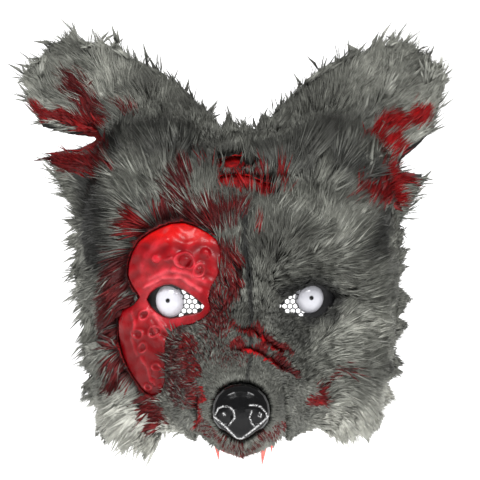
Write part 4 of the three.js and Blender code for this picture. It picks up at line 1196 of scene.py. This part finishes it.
def make_fang(node_name):
    """A slim hooked cone, from inside the lip to a point."""
    low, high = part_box(node_name)
    middle = (low[0] + high[0]) / 2
    length = (high[2] - low[2]) * FANG_LONGER[node_name]
    radius = (high[0] - low[0]) * FANG_WIDTH_SHARE
    point_radius = radius * FANG_POINT_SHARE
    bpy.ops.mesh.primitive_cone_add(
        vertices=20, radius1=radius, radius2=point_radius, depth=length, rotation=(math.pi, 0, 0)
    )
    piece = bpy.context.object
    piece.name = node_name + "_tooth"
    piece.location = (middle, (low[1] + high[1]) / 2, high[2] - length / 2)
    bpy.ops.object.transform_apply()
    edit_all(bpy.ops.mesh.subdivide, number_cuts=5)
    for vertex in piece.data.vertices:
        share = (high[2] - vertex.co.z) / length
        swell = 1 + FANG_SWELL * share * (1 - share)
        vertex.co.x = (vertex.co.x - middle) * swell + middle
        vertex.co.x -= math.copysign(FANG_HOOK, middle) * share * share
    bpy.ops.object.shade_smooth_by_angle(angle=math.radians(50))
    finish_piece(piece, fang_material, "fang", node_name)


def make_ear(side):
    """One ear: its padded core, and the pile on it."""
    node_name = "ear_" + side
    core = undercoat(node_name, "ear_core_" + side, "ear_fur", 0.4)
    rng = np.random.default_rng(21 if side == "left" else 22)
    points, normals = roots_on(node_name, EAR_STRANDS, keep_on_ear, rng)
    length = trimmed(points, np.full(EAR_STRANDS, EAR_PILE))
    name = "pile_ear_" + side
    grow(name, "ear_fur", points, normals, ear_flow(side), length, EAR_LIFT, rng, EAR_LOCKS)


def make_muzzle():
    """The muzzle's undercoat, and the short pile on it."""
    undercoat("fur_muzzle", "muzzle_core", "muzzle_fur", 0.35)
    rng = np.random.default_rng(31)
    points, normals = roots_on("fur_muzzle", MUZZLE_STRANDS, keep_on_muzzle, rng)
    from_nose = np.linalg.norm(points - NOSE_TIP, axis=1)
    length = MUZZLE_PILE + MUZZLE_PILE_GAIN * ramp(from_nose, 0.03, 0.07)
    name = "pile_muzzle"
    slot = "muzzle_fur"
    grow(name, slot, points, normals, face_flow, length, MUZZLE_LIFT, rng, MUZZLE_LOCKS, 0.55)


# Stage, light and camera


def make_stage():
    """A pale floor that turns up into a backdrop."""
    bpy.ops.mesh.primitive_plane_add(size=FLOOR_LENGTH, location=(0, 0, FLOOR_HEIGHT))
    floor = bpy.context.object
    floor.name = "studio_floor"
    floor.scale.x = FLOOR_WIDENED
    bpy.ops.object.mode_set(mode="EDIT")
    bpy.ops.mesh.select_mode(type="EDGE")
    bpy.ops.mesh.select_all(action="DESELECT")
    bpy.ops.object.mode_set(mode="OBJECT")
    for edge in floor.data.edges:
        ends = [floor.data.vertices[i].co for i in edge.vertices]
        edge.select = all(end.y > 0 for end in ends)
    bpy.ops.object.mode_set(mode="EDIT")
    bpy.ops.mesh.extrude_region_move(TRANSFORM_OT_translate={"value": (0, 0, BACKDROP_HEIGHT)})
    bpy.ops.object.mode_set(mode="OBJECT")
    apply_modifier(floor, "BEVEL", width=BACKDROP_CURVE, segments=16, limit_method="ANGLE")
    bpy.ops.object.shade_smooth()
    bpy.ops.object.transform_apply()
    material, tree, shader = new_material("pale_paper")
    speckle = noise(tree, 40, 3)
    shade = mixed(tree, speckle, (0.98, 0.98, 0.98), (1, 1, 1))
    glow = {"Emission Color": (1, 1, 1, 1), "Emission Strength": 0.55}
    set_inputs(tree, shader, {"Base Color": shade, "Roughness": 0.9, **glow})
    floor.data.materials.append(material)


def make_lights():
    world = bpy.data.worlds.new("studio")
    world.use_nodes = True
    background = world.node_tree.nodes["Background"]
    set_inputs(world.node_tree, background, {"Color": (1, 1, 1, 1), "Strength": 0.5})
    bpy.context.scene.world = world
    for name, place, target, size, power, mirrored in LAMPS:
        data = bpy.data.lights.new(name, "AREA")
        data.shape = "RECTANGLE"
        data.size, data.size_y = size
        data.energy = power
        lamp = placed(name, data)
        lamp.location = place
        lamp.rotation_euler = (Vector(target) - Vector(place)).to_track_quat("-Z", "Y").to_euler()
        lamp.visible_glossy = mirrored


def make_camera():
    data = bpy.data.cameras.new("front_camera")
    data.lens = CAMERA_LENS
    data.sensor_width = SENSOR_WIDTH
    camera = placed("front_camera", data)
    camera.location = CAMERA_POINT
    camera.rotation_euler = (math.pi / 2, 0, 0)
    bpy.context.scene.camera = camera


bpy.context.scene.view_settings.view_transform = "Standard"
make_camera()
make_lights()
make_stage()
fur_material = make_fur_material()
undercoat_material = make_undercoat_material()
lining_material = make_lining_material()
make_shell()
make_wound()
for side_name in ("left", "right"):
    make_eyeball(side_name)
    make_lining(side_name)
    undercoat("fur_" + side_name, "hide_" + side_name, "fur", 0.3)
    fur_panel(side_name)
    make_ear(side_name)
make_muzzle()
make_nose()
fang_material = make_fang_material()
for fang_name in FANG_LONGER:
    make_fang(fang_name)
net_material = make_net_material()
for net_name in ("eye_net_left", "eye_net_right"):
    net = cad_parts[net_name].data
    net.materials.clear()
    net.materials.append(net_material)
